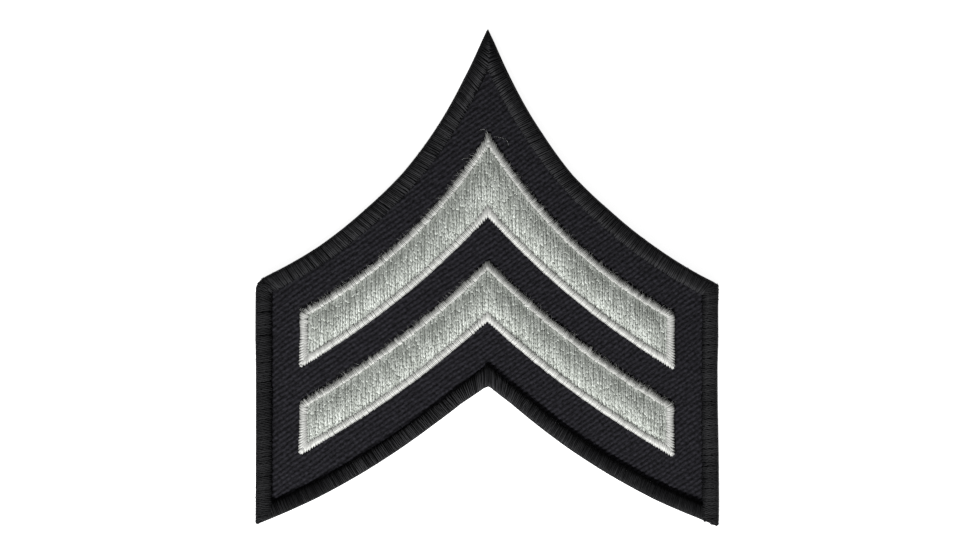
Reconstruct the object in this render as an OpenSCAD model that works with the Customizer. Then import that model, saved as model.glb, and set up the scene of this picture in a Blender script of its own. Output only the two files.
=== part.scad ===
// Embroidered rank patch in the shape of an arrowhead: a twill ground, a thick overlocked
// border round its cut edge and two chevron bars, each a stitched fill inside a satin outline.
// The patch lies on its back, face up, with its peak towards +Y. Millimetres.

/* [Outline] */
// Width across the two straight sides
patch_w = 76.2; // [64:0.1:100]
// Rise of the peak above the shoulders, before its tip is blunted
peak_rise = 42.3; // [34:0.1:50]
// Radius of each hollow upper edge
upper_edge_r = 73; // [66:0.5:160]
// Radius of each lower edge, from the notch to the bottom tips
lower_edge_r = 131; // [90:1:300]
// Length of edge taken up by the blunt tip of the peak
peak_reach = 1.3; // [0.6:0.1:3.5]
// Length of edge taken up by the rounding of the left shoulder
left_shoulder_reach = 1.7; // [0.4:0.1:3]
// Length of edge taken up by the rounding of the right shoulder
right_shoulder_reach = 0.6; // [0.4:0.1:3]
// Length of edge taken up by the rounding of each bottom tip
tip_reach = 0.4; // [0.2:0.1:1.5]
// Length of edge taken up by the rounding of the notch
notch_reach = 0.7; // [0.3:0.1:2]

/* [Ground cloth] */
// Thickness of the backed twill
ground_t = 1; // [0.8:0.1:1.6]
// Twill seen above the upper chevron at the axis, measured up and down
twill_above_axis = 10.7; // [6:0.1:14]
// Twill seen above the upper chevron at its ends, measured up and down
twill_above_end = 5.9; // [3:0.1:9]
// Twill seen between the border and the ends of the chevrons
twill_beside = 4.6; // [3:0.1:8]
// Twill seen below the lower chevron at the axis, measured up and down
twill_below_axis = 6.8; // [4:0.1:10]
// Twill seen below the lower chevron at its ends, measured up and down
twill_below_end = 5.4; // [4:0.1:10]
// Twill seen between the two chevrons at the axis, measured up and down
gap_axis = 7.4; // [3:0.1:10]
// Twill seen between the two chevrons at their ends, measured up and down
gap_end = 5.8; // [3:0.1:10]

/* [Border] */
// Width of the thread roll seen from the front
border_w = 2.6; // [2:0.1:3.4]
// Height of the thread roll, from the back of the patch to its crown
border_h = 2.2; // [1.9:0.1:3]
// How far the rim of the ground cloth reaches into the roll
rim_hold = 1.7; // [1:0.1:1.8]
// Thickness of the threads that pass under the rim
under_t = 0.3; // [0.2:0.05:0.4]
// How far the roll turns in below its outer edge
under_turn = 0.7; // [0.4:0.1:1]
// Squareness of the roll's crown, where 2 is a plain ellipse
border_squareness = 2.8; // [2:0.1:4]

/* [Chevrons] */
// Depth of the upper chevron at the axis, measured up and down
upper_depth_axis = 13.7; // [9:0.1:18]
// Depth of the upper chevron at its ends, measured up and down
upper_depth_end = 9.2; // [7:0.1:14]
// Radius of the upper chevron's upper edge
upper_top_r = 80; // [68:0.5:160]
// Radius of the upper chevron's lower edge
upper_base_r = 131; // [90:1:300]
// Depth of the lower chevron at the axis, measured up and down
lower_depth_axis = 9.9; // [7:0.1:14]
// Depth of the lower chevron at its ends, measured up and down
lower_depth_end = 8.6; // [7:0.1:14]
// Radius of the lower chevron's upper edge
lower_top_r = 150; // [100:1:300]
// Radius of the lower chevron's lower edge
lower_base_r = 160; // [100:1:300]
// Length of edge taken up by the rounding of each corner of a chevron
bar_reach = 0.4; // [0.2:0.1:1.5]
// Width of the satin stitch round each chevron
satin_w = 1.4; // [0.8:0.1:2]
// Height of the satin stitch above the ground cloth
satin_h = 0.95; // [0.6:0.05:1.4]
// Height of the fill above the ground cloth where it meets the satin stitch
fill_edge_h = 0.65; // [0.4:0.05:0.8]
// Height of the fill above the ground cloth along its middle
fill_crown_h = 1.1; // [0.85:0.05:1.4]
// Length over which the fill falls to its edge height at the ends
fill_fall = 3; // [1:0.1:6]

/* [Hidden] */

// Free space left between pieces that lie against each other
clearance = 0.08;
// Length of edge that one flat of a curve stands for
flat_len = 3.6;
// Flats in each rounded corner
corner_flats = 3;
// Least rounding of a corner, which keeps the corners of an inner ring open
least_reach = 0.2;
// Flats over the crown of the border and of the satin stitch
crown_flats = 10;
// Flats under the outer turn of the border
turn_flats = 4;
// Upright foot of the satin stitch, below its rounded top
satin_foot = 0.2;
// Flats from edge to edge of a fill
fill_flats = 8;
// Most distance between two sections of a fill
fill_step = 2;

half_w = patch_w / 2;
bar_half_w = half_w - border_w - twill_beside;
// Height at which the border's upper half and the bars lie on the ground cloth
seat_z = ground_t + clearance;

// An edge is an arc, kept as its centre and radius. The centre lies above the patch and to the
// right of the axis, and the left half of the patch mirrors the right one.

// The edge that passes the axis at height ya, passes height yb at x = xb and has radius r
function edge_through(ya, xb, yb, r) =
    let (chord = [xb, yb - ya], half = norm(chord) / 2, rise = sqrt(r * r - half * half))
    [xb / 2 - rise * chord.y / norm(chord), (ya + yb) / 2 + rise * chord.x / norm(chord), r];

// The same edge moved square to itself, away from its centre by d
function moved_edge(edge, d) = [edge[0], edge[1], edge[2] + d];

// Where on the edge its turn from the downward direction is the given angle
function on_edge(edge, turn) =
    [edge[0] - edge[2] * sin(turn), edge[1] - edge[2] * cos(turn)];

// That turn at a distance x from the axis, and the height there
function turn_at(edge, x) = asin((edge[0] - x) / edge[2]);
function height_at(edge, x) = on_edge(edge, turn_at(edge, x)).y;

// The turn that a length of edge spans
function turn_of(edge, length) = length / edge[2] * 180 / PI;

// The edge of radius r that lies below another, by one drop at the axis and one at the bars' ends
function edge_below(edge, axis_drop, end_drop, r) =
    edge_through(height_at(edge, 0) - axis_drop, bar_half_w,
                 height_at(edge, bar_half_w) - end_drop, r);

// The outline's upper edge, and all other edges chained below it
outline_top = edge_through(peak_rise, half_w, 0, upper_edge_r);
border_top = moved_edge(outline_top, border_w);
upper_top = edge_below(border_top, twill_above_axis, twill_above_end, upper_top_r);
upper_base = edge_below(upper_top, upper_depth_axis, upper_depth_end, upper_base_r);
lower_top = edge_below(upper_base, gap_axis, gap_end, lower_top_r);
lower_base = edge_below(lower_top, lower_depth_axis, lower_depth_end, lower_base_r);
border_base = edge_below(lower_base, twill_below_axis, twill_below_end, lower_edge_r - border_w);
outline_base = moved_edge(border_base, border_w);

// A shape is a whole arrowhead: its upper edge, lower edge, half width and the reach of its
// rounded corners in the order peak, left shoulder, right shoulder, tips, notch.
patch_shape = [outline_top, outline_base, half_w,
               [peak_reach, left_shoulder_reach, right_shoulder_reach, tip_reach, notch_reach]];
bar_corners = [bar_reach, bar_reach, bar_reach, bar_reach, bar_reach];
upper_bar = [upper_top, upper_base, bar_half_w, bar_corners];
lower_bar = [lower_top, lower_base, bar_half_w, bar_corners];

function mirrored(points) = [for (p = points) [-p.x, p.y]];
function reversed(points) = [for (i = [len(points) - 1:-1:0]) points[i]];

// Points along an edge, from the axis out to x, less the reach of the corners at its ends
function edge_run(edge, x, inner_reach, outer_reach, flats) =
    let (from = turn_at(edge, 0) - turn_of(edge, inner_reach),
         to = turn_at(edge, x) + turn_of(edge, outer_reach))
    [for (i = [0:flats]) on_edge(edge, from + (to - from) * i / flats)];

// Points inside a rounded corner that leaves at a and comes back at b
function corner(a, tip, b) =
    [for (i = [1:corner_flats - 1]) let (t = i / corner_flats)
        (1 - t) * (1 - t) * a + 2 * t * (1 - t) * tip + t * t * b];

// Number of flats that an edge of the shape takes
function flats_of(edge, x) =
    ceil(norm(on_edge(edge, turn_at(edge, 0)) - on_edge(edge, turn_at(edge, x))) / flat_len);

// One half of a ring, from the peak round to the notch, for the reach of its own shoulder
function half_ring(top, base, x, reach, shoulder_reach, top_flats, base_flats) =
    let (upper = edge_run(top, x, reach[0], shoulder_reach, top_flats),
         lower = reversed(edge_run(base, x, reach[4], reach[3], base_flats)),
         shoulder = [x, height_at(top, x)],
         tip = [x, height_at(base, x)],
         side_a = shoulder - [0, shoulder_reach],
         side_b = tip + [0, reach[3]])
    concat(upper, corner(upper[top_flats], shoulder, side_a), [side_a, (side_a + side_b) / 2, side_b],
           corner(side_b, tip, lower[0]), lower);

// The outline of a shape moved in by d, clockwise from the peak
function ring(shape, d) =
    let (top = moved_edge(shape[0], d), base = moved_edge(shape[1], -d), x = shape[2] - d,
         reach = [for (r = shape[3]) max(r - d, least_reach)],
         top_flats = flats_of(shape[0], shape[2]), base_flats = flats_of(shape[1], shape[2]),
         right = half_ring(top, base, x, reach, reach[2], top_flats, base_flats),
         left = mirrored(half_ring(top, base, x, reach, reach[1], top_flats, base_flats)))
    concat(right, corner(right[len(right) - 1], [0, height_at(base, 0)], left[len(left) - 1]),
           reversed(left), corner(left[0], [0, height_at(top, 0)], right[0]));

// The middle of the patch's length lies on the origin
outline_ys = [for (p = ring(patch_shape, 0)) p.y];
mid_y = (max(outline_ys) + min(outline_ys)) / 2;

// A closed roll that follows a shape. Each point of its section is [distance in from the
// outline, height], and the section runs from the inner side over the crown to the outer side.
module roll(shape, section) {
    rings = [for (p = section) [for (q = ring(shape, p[0])) [q.x, q.y, p[1]]]];
    around = len(rings[0]);
    across = len(section);
    polyhedron(
        points = [for (r = rings) for (p = r) p],
        faces = [for (i = [0:across - 1]) for (j = [0:around - 1])
            let (a = i * around, b = ((i + 1) % across) * around, k = (j + 1) % around)
            for (face = [[a + j, b + k, a + k], [a + j, b + j, b + k]]) face],
        convexity = 8);
}

// The upper half of an ellipse as section points, squarer where squareness is above 2
function crown_section(centre, across, up, squareness) =
    [for (i = [0:crown_flats]) let (turn = 180 * i / crown_flats, c = cos(turn), s = sin(turn))
        [centre[0] + across * sign(c) * pow(abs(c), 2 / squareness),
         centre[1] + up * pow(s, 2 / squareness)]];

// The border's section: a crowned roll with a groove that holds the rim of the ground cloth
function border_section() = concat(
    crown_section([border_w / 2, seat_z], border_w / 2, border_h - seat_z, border_squareness),
    [for (i = [1:turn_flats]) let (turn = 90 * i / turn_flats)
        [under_turn * (1 - cos(turn)), seat_z * (1 - sin(turn))]],
    [[border_w, 0], [border_w, under_t], [border_w - rim_hold, under_t],
     [border_w - rim_hold, seat_z]]);

// The satin stitch's section: a low rounded roll on an upright foot
function satin_section() = concat(
    crown_section([satin_w / 2, seat_z + satin_foot], satin_w / 2,
                  satin_h - clearance - satin_foot, 2),
    [[0, seat_z], [satin_w, seat_z]]);

// The stitched fill of a bar: sections square to X, crowned between the two edges
module crowned_fill(bar) {
    inset = satin_w + clearance;
    top = moved_edge(bar[0], inset);
    base = moved_edge(bar[1], -inset);
    x_end = bar[2] - inset;
    stations = ceil(x_end / fill_step);
    sections = [for (i = [-stations:stations])
        let (x = x_end * i / stations, y_top = height_at(top, abs(x)), y_base = height_at(base, abs(x)),
             fall = 1 - min(1, (x_end - abs(x)) / fill_fall),
             crown = (fill_crown_h - fill_edge_h) * (1 - fall * fall))
        concat([[x, y_base, seat_z]],
               [for (j = [0:fill_flats]) let (s = 2 * j / fill_flats - 1)
                   [x, y_base + (y_top - y_base) * (s + 1) / 2,
                    ground_t + fill_edge_h + crown * (1 - s * s)]],
               [[x, y_top, seat_z]])];
    around = len(sections[0]);
    last = len(sections) - 1;
    polyhedron(
        points = [for (s = sections) for (p = s) p],
        faces = concat(
            [for (i = [0:last - 1]) for (j = [0:around - 1])
                let (a = i * around, b = a + around, k = (j + 1) % around)
                for (face = [[a + j, a + k, b + k], [a + j, b + k, b + j]]) face],
            [[for (j = [around - 1:-1:0]) j], [for (j = [0:around - 1]) last * around + j]]),
        convexity = 6);
}

module twill_ground() {
    color("#24232a") translate([0, -mid_y, 0]) {
        linear_extrude(ground_t) polygon(ring(patch_shape, border_w + clearance));
        translate([0, 0, under_t + clearance])
            linear_extrude(ground_t - under_t - clearance)
                polygon(ring(patch_shape, border_w - rim_hold + clearance));
    }
}

module edge_border() {
    color("#1a1a1c") translate([0, -mid_y, 0]) roll(patch_shape, border_section());
}

module upper_chevron_fill() {
    color("#a2a89e") translate([0, -mid_y, 0]) crowned_fill(upper_bar);
}

module upper_chevron_outline() {
    color("#cfcfc8") translate([0, -mid_y, 0]) roll(upper_bar, satin_section());
}

module lower_chevron_fill() {
    color("#a2a89e") translate([0, -mid_y, 0]) crowned_fill(lower_bar);
}

module lower_chevron_outline() {
    color("#cfcfc8") translate([0, -mid_y, 0]) roll(lower_bar, satin_section());
}

twill_ground();
edge_border();
upper_chevron_fill();
upper_chevron_outline();
lower_chevron_fill();
lower_chevron_outline();
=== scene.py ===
"""Dresses the embroidered rank patch.

A ribbed twill ground, an overlocked border laid thread by thread, and two chevron bars of short
fill stitches inside satin outlines. The patch lies on its back on a pale floor.
"""

from __future__ import annotations

import logging
import math
from dataclasses import dataclass
from enum import Enum

import bpy
import numpy as np
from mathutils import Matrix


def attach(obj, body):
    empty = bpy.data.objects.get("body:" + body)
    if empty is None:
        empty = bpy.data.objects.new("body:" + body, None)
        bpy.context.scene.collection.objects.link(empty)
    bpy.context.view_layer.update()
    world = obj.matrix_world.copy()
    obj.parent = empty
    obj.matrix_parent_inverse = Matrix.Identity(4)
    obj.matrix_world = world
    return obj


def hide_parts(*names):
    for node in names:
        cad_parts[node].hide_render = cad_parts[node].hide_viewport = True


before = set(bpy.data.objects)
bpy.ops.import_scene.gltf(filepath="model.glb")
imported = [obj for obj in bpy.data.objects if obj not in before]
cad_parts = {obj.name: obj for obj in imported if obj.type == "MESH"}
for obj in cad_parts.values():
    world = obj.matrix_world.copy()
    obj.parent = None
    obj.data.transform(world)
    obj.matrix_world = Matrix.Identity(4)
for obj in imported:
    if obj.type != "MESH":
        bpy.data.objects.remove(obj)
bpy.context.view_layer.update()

log = logging.getLogger("patch")
Array = np.ndarray
Colour = tuple[float, float, float]

# Metres in one millimetre. Plans and threads are worked out in millimetres.
MM = 0.001
# Places along a side where its true line is followed closely.
FINE = 400
BODY = "root"


class Corner(Enum):
    """Corners of an arrowhead, clockwise from its peak."""

    PEAK = 0
    RIGHT_SHOULDER = 1
    RIGHT_TIP = 2
    NOTCH = 3
    LEFT_TIP = 4
    LEFT_SHOULDER = 5


class SideKind(Enum):
    """The three kinds of side, in the order of every tuple that has a value for each kind."""

    UPPER = 0
    UPRIGHT = 1
    BASE = 2


class Side(Enum):
    """Sides of an arrowhead, clockwise. Each one starts at the corner of the same number."""

    TOP_RIGHT = 0
    RIGHT = 1
    BASE_RIGHT = 2
    BASE_LEFT = 3
    LEFT = 4
    TOP_LEFT = 5

    @property
    def right(self) -> bool:
        """Whether this side is on the right half of the patch. Pairs of values are (left, right)."""
        return self in (Side.TOP_RIGHT, Side.RIGHT, Side.BASE_RIGHT)

    @property
    def mirror(self) -> int:
        """1 on the right half of the patch and -1 on the left half."""
        return 1 if self.right else -1

    @property
    def kind(self) -> SideKind:
        """Which kind of side this is."""
        if self in (Side.TOP_RIGHT, Side.TOP_LEFT):
            return SideKind.UPPER
        return SideKind.UPRIGHT if self in (Side.RIGHT, Side.LEFT) else SideKind.BASE

    @property
    def upright(self) -> bool:
        """Whether this is one of the two straight sides."""
        return self.kind is SideKind.UPRIGHT

    @property
    def upper(self) -> bool:
        """Whether this is one of the two upper edges."""
        return self.kind is SideKind.UPPER

    @property
    def outwards(self) -> bool:
        """Whether walking clockwise along this side leads away from the axis, or down."""
        return self in (Side.TOP_RIGHT, Side.RIGHT, Side.BASE_LEFT)


@dataclass(frozen=True)
class Edge:
    """A round edge of the patch's right half, as the centre and radius of its arc."""

    x: float
    y: float
    r: float

    @classmethod
    def through(cls, ya: float, xb: float, yb: float, r: float) -> Edge:
        """Makes the edge that passes the axis at ya and passes yb at a distance xb from it.

        Args:
            ya: Height at the axis.
            xb: Distance from the axis of the second point.
            yb: Height of the second point.
            r: Radius of the arc.

        Returns:
            The edge, with its centre above and to the right of the chord.
        """
        chord = math.hypot(xb, yb - ya)
        rise = math.sqrt(r * r - chord * chord / 4)
        return cls(xb / 2 - rise * (yb - ya) / chord, (ya + yb) / 2 + rise * xb / chord, r)

    def moved(self, d: float) -> Edge:
        """Returns the edge moved square to itself, away from its centre by d."""
        return Edge(self.x, self.y, self.r + d)

    def turn_at(self, x: float) -> float:
        """Returns the turn from the downward direction at a distance x from the axis."""
        return math.asin((self.x - x) / self.r)

    def height_at(self, x: float | Array) -> float | Array:
        """Returns the edge's height at a distance x from the axis."""
        return self.y - np.sqrt(self.r ** 2 - (self.x - x) ** 2)

    def at(self, turn: Array) -> tuple[Array, Array]:
        """Returns the places on the edge at some turns, as x and y."""
        return self.x - self.r * np.sin(turn), self.y - self.r * np.cos(turn)

    def distance(self, x: Array, y: Array) -> Array:
        """Returns how far places lie outside the arc's circle."""
        return np.hypot(x - self.x, y - self.y) - self.r


@dataclass(frozen=True)
class Arrowhead:
    """An arrowhead or chevron outline: two round edges, a half width and rounded corners."""

    top: Edge
    base: Edge
    half_w: float
    reach: tuple[float, ...]

    def edge(self, side: Side, depth: float) -> Edge:
        """Returns the round edge of a side, moved in by depth."""
        return self.top.moved(depth) if side.upper else self.base.moved(-depth)

    def length(self, side: Side, depth: float = 0.0) -> float:
        """Returns the length of a side between its unrounded corners, moved in by depth.

        Args:
            side: The side.
            depth: How far it is moved in.

        Returns:
            Its length in millimetres.
        """
        x = self.half_w - depth
        if side.upright:
            return self.top.moved(depth).height_at(x) - self.base.moved(-depth).height_at(x)
        edge = self.edge(side, depth)
        return abs(edge.turn_at(x) - edge.turn_at(0)) * edge.r

    def away(self, side: Side, share: Array) -> Array:
        """Returns how far places on a side lie from its end at the axis, or from an upright's top."""
        return (share if side.outwards else 1 - share) * self.length(side)

    def on_side(self, side: Side, depth: float, share: Array) -> Array:
        """Finds places on a side, with its corners left unrounded.

        Args:
            side: The side to walk along, clockwise.
            depth: How far the side is moved in.
            share: Shares of the side's length, from 0 to 1.

        Returns:
            One plan point for each share.
        """
        x_end = self.half_w - depth
        out = share if side.outwards else 1 - share
        if side.upright:
            y_top = self.top.moved(depth).height_at(x_end)
            x, y = np.full_like(share, x_end), y_top - self.length(side, depth) * out
        else:
            edge = self.edge(side, depth)
            start, end = edge.turn_at(0), edge.turn_at(x_end)
            x, y = edge.at(start + (end - start) * out)
        return np.stack([side.mirror * x, y], -1)

    def rim(self, side: Side, share: Array) -> Array:
        """Finds places on a side of the outline itself, with its corners rounded.

        Args:
            side: The side to walk along, clockwise.
            share: Shares of the side's length, from 0 to 1.

        Returns:
            One plan point for each share.
        """
        places = self.on_side(side, 0.0, share)
        length = self.length(side)
        for end in (0, 1):
            number = (side.value + end) % len(Corner)
            reach = self.reach[number]
            before, after = Side((number - 1) % len(Side)), Side(number)
            a = self.on_side(before, 0.0, np.array([1 - reach / self.length(before)]))
            tip = self.on_side(after, 0.0, np.array([0.0]))
            b = self.on_side(after, 0.0, np.array([reach / self.length(after)]))
            away = (share if end == 0 else 1 - share) * length
            near = away < reach
            t = (0.5 + (0.5 if end == 0 else -0.5) * away[near] / reach)[:, None]
            places[near] = (1 - t) ** 2 * a + 2 * t * (1 - t) * tip + t * t * b
        return places

    def depth(self, places: Array) -> Array:
        """Returns how deep plan points lie inside the outline, by the nearest of its sides.

        Args:
            places: Plan points, in an array of any shape that ends with x and y.

        Returns:
            One depth for each point, below 0 outside the outline.
        """
        x, y = np.abs(places[..., 0]), places[..., 1]
        from_top = self.top.distance(x, y)
        from_base = -self.base.distance(x, y)
        return np.minimum(np.minimum(from_top, from_base), self.half_w - x)

    def depth_from(self, side: Side, places: Array) -> Array:
        """Returns how deep plan points lie, measured from one side alone.

        Args:
            side: The side that counts.
            places: Plan points, in an array of any shape that ends with x and y.

        Returns:
            One depth for each point.
        """
        x, y = side.mirror * places[..., 0], places[..., 1]
        if side.upright:
            return self.half_w - x
        away = self.edge(side, 0.0).distance(x, y)
        return away if side.upper else -away

    def inward(self, side: Side, places: Array) -> Array:
        """Returns level unit vectors that point in from a side, square to it.

        Args:
            side: The side.
            places: Plan points, one row each.

        Returns:
            One vector for each point.
        """
        if side.upright:
            return np.broadcast_to([-side.mirror, 0.0], places.shape)
        edge = self.edge(side, 0.0)
        out = unit(places - np.array([side.mirror * edge.x, edge.y]))
        return out if side.upper else -out

    def corner_shift(self, corner: Corner, depth: float) -> float:
        """Returns how much shorter a side becomes at a corner when it is moved in by depth.

        Args:
            corner: The corner where the side ends.
            depth: How far the side is moved in.

        Returns:
            The part of its length that is lost, below 0 where it is gained.
        """
        after = Side(corner.value)
        before = Side((corner.value - 1) % len(Side))
        step = 1e-3
        ahead = np.diff(self.on_side(after, 0.0, np.array([0.0, step])), axis=0)[0]
        back = np.diff(self.on_side(before, 0.0, np.array([1.0, 1 - step])), axis=0)[0]
        turn = math.atan2(back[1], back[0]) - math.atan2(ahead[1], ahead[0])
        inner = (-turn) % (2 * math.pi)
        return depth / math.tan(inner / 2)


@dataclass(frozen=True)
class PatchPlan:
    """The patch's driving sizes in millimetres, as its solids have them."""

    patch_w: float = 76.2
    peak_rise: float = 42.3
    upper_edge_r: float = 73.0
    lower_edge_r: float = 131.0
    reach: tuple[float, ...] = (1.3, 0.6, 0.4, 0.7, 0.4, 1.7)
    ground_t: float = 1.0
    seat: float = 1.08
    twill_above: tuple[float, float] = (10.7, 5.9)
    twill_beside: float = 4.6
    twill_below: tuple[float, float] = (6.8, 5.4)
    gap: tuple[float, float] = (7.4, 5.8)
    border_w: float = 2.6
    border_h: float = 2.2
    rim_hold: float = 1.7
    under_t: float = 0.3
    under_turn: float = 0.7
    upper_depth: tuple[float, float] = (13.7, 9.2)
    upper_top_r: float = 80.0
    upper_base_r: float = 131.0
    lower_depth: tuple[float, float] = (9.9, 8.6)
    lower_top_r: float = 150.0
    lower_base_r: float = 160.0
    bar_reach: float = 0.4
    satin_w: float = 1.4
    satin_h: float = 0.95
    satin_foot: float = 0.2
    fill_edge_h: float = 0.65
    fill_crown_h: float = 1.1
    fill_fall: float = 3.0
    clearance: float = 0.08

    @property
    def bar_half_w(self) -> float:
        """Half the width of the chevron bars."""
        return self.patch_w / 2 - self.border_w - self.twill_beside

    def below(self, edge: Edge, drop: tuple[float, float], r: float) -> Edge:
        """Returns the edge of radius r that lies below another by drops at the axis and bar ends."""
        x = self.bar_half_w
        return Edge.through(edge.height_at(0) - drop[0], x, edge.height_at(x) - drop[1], r)

    def shapes(self) -> tuple[Arrowhead, Arrowhead, Arrowhead]:
        """Returns the outlines of the whole patch, the upper bar and the lower bar."""
        top = Edge.through(self.peak_rise, self.patch_w / 2, 0.0, self.upper_edge_r)
        upper_top = self.below(top.moved(self.border_w), self.twill_above, self.upper_top_r)
        upper_base = self.below(upper_top, self.upper_depth, self.upper_base_r)
        lower_top = self.below(upper_base, self.gap, self.lower_top_r)
        lower_base = self.below(lower_top, self.lower_depth, self.lower_base_r)
        inner_base = self.below(lower_base, self.twill_below, self.lower_edge_r - self.border_w)
        whole = Arrowhead(top, inner_base.moved(self.border_w), self.patch_w / 2, self.reach)
        corners = (self.bar_reach,) * len(Corner)
        return (
            whole,
            Arrowhead(upper_top, upper_base, self.bar_half_w, corners),
            Arrowhead(lower_top, lower_base, self.bar_half_w, corners),
        )


class MeshDraft:
    """A mesh being put together from arrays, in millimetres."""

    def __init__(self) -> None:
        """Starts an empty draft."""
        self.points: list[Array] = []
        self.loops: list[Array] = []
        self.sizes: list[Array] = []
        self.lay: list[Array] = []
        self.tone: list[Array] = []
        self.count = 0

    def add(self, points: Array, faces: list[Array], lay: Array | None = None,
            tone: Array | None = None) -> None:
        """Adds points and the faces between them.

        Args:
            points: Places in millimetres, one row each.
            faces: Arrays of faces, each array with faces of one size that count from 0.
            lay: For each point its place round a thread, along it, and across the threads.
            tone: For each point how light its thread is, from 0 to 1, painted light and shade included.
        """
        points = points.reshape(-1, 3)
        for group in faces:
            self.loops.append((group + self.count).ravel())
            self.sizes.append(np.full(len(group), group.shape[1]))
        self.points.append(points)
        self.lay.append(np.zeros_like(points) if lay is None else lay.reshape(-1, 3))
        self.tone.append(np.full(len(points), 0.5) if tone is None else tone.ravel())
        self.count += len(points)

    def add_roll(self, rings: list[Array], outwards: bool, tone: float) -> None:
        """Adds a closed roll that runs round a whole outline.

        Args:
            rings: Its sections, side by side, from the function of that name.
            outwards: Whether each section runs over its top from the inside out.
            tone: How light the roll is, from 0 to 1.
        """
        points = np.concatenate(rings)
        count, around = points.shape[:2]
        i, j = np.arange(count)[:, None], np.arange(around)[None]
        i2, j2 = (i + 1) % count, (j + 1) % around
        first, *rest = i * around + j, i * around + j2, i2 * around + j2, i2 * around + j
        quads = np.stack(np.broadcast_arrays(first, *(rest if outwards else rest[::-1])), -1)
        self.add(points, [quads.reshape(-1, 4)], None, np.full(count * around, tone))

    def build(self, name: str, lift: Array) -> bpy.types.Object:
        """Makes the Blender object.

        Args:
            name: Name of the new piece.
            lift: How far the draft is moved into the patch's frame, in millimetres.

        Returns:
            The object, smooth shaded, with the values "lay" and "tone" on its points.
        """
        points = (np.concatenate(self.points) + lift) * MM
        loops, sizes = np.concatenate(self.loops), np.concatenate(self.sizes)
        mesh = bpy.data.meshes.new(name)
        mesh.vertices.add(len(points))
        mesh.vertices.foreach_set("co", points.astype(np.float32).ravel())
        mesh.loops.add(len(loops))
        mesh.loops.foreach_set("vertex_index", loops.astype(np.int32))
        mesh.polygons.add(len(sizes))
        starts = np.concatenate([[0], np.cumsum(sizes)[:-1]])
        mesh.polygons.foreach_set("loop_start", starts.astype(np.int32))
        mesh.polygons.foreach_set("use_smooth", np.ones(len(sizes), bool))
        mesh.update(calc_edges=True)
        mesh.validate()
        lay = mesh.attributes.new("lay", "FLOAT_VECTOR", "POINT")
        lay.data.foreach_set("vector", np.concatenate(self.lay).astype(np.float32).ravel())
        tone = mesh.attributes.new("tone", "FLOAT", "POINT")
        tone.data.foreach_set("value", np.concatenate(self.tone).astype(np.float32))
        piece = bpy.data.objects.new(name, mesh)
        bpy.context.scene.collection.objects.link(piece)
        log.info("%s: %d triangles", name, int((sizes - 2).sum()))
        return piece


def unit(vectors: Array) -> Array:
    """Returns vectors of length one in the same directions."""
    return vectors / np.maximum(np.linalg.norm(vectors, axis=-1, keepdims=True), 1e-9)


def leftwards(ways: Array) -> Array:
    """Returns level vectors to the left of level ways, as ways by one by three."""
    return np.stack([-ways[:, 1], ways[:, 0], np.zeros(len(ways))], -1)[:, None]


def bell(x: Array, reach: float) -> Array:
    """Returns 1 where x is 0, falling to nearly nothing at twice the reach."""
    return np.exp(-(x / reach) ** 2)


def sections(outer: Array, across: Array, loop: list[tuple[float, float]]) -> Array:
    """Sets one closed section on each place of an outline.

    Args:
        outer: Places on the outline.
        across: Level vectors from them to the far side of the section.
        loop: The section's points, each as a share of the way across and a height.

    Returns:
        Sections by points by three.
    """
    return np.stack([np.column_stack([outer + across * s, np.full(len(outer), z)]) for s, z in loop], 1)


def tube_faces(tubes: int, rings: int, around: int) -> list[Array]:
    """Lists the faces of closed tubes whose points run round each ring, ring by ring.

    Args:
        tubes: Number of tubes.
        rings: Rings along each tube.
        around: Points round each ring.

    Returns:
        The quads of the walls and the end faces.
    """
    first = (np.arange(tubes) * rings * around)[:, None, None]
    ring = (np.arange(rings - 1) * around)[None, :, None]
    j = np.arange(around)[None, None, :]
    k = (j + 1) % around
    walls = np.stack(np.broadcast_arrays(
        first + ring + j, first + ring + k, first + ring + around + k, first + ring + around + j), -1)
    start = first[:, 0] + np.arange(around)[::-1]
    end = first[:, 0] + (rings - 1) * around + np.arange(around)
    return [walls.reshape(-1, 4), np.concatenate([start, end])]


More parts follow.
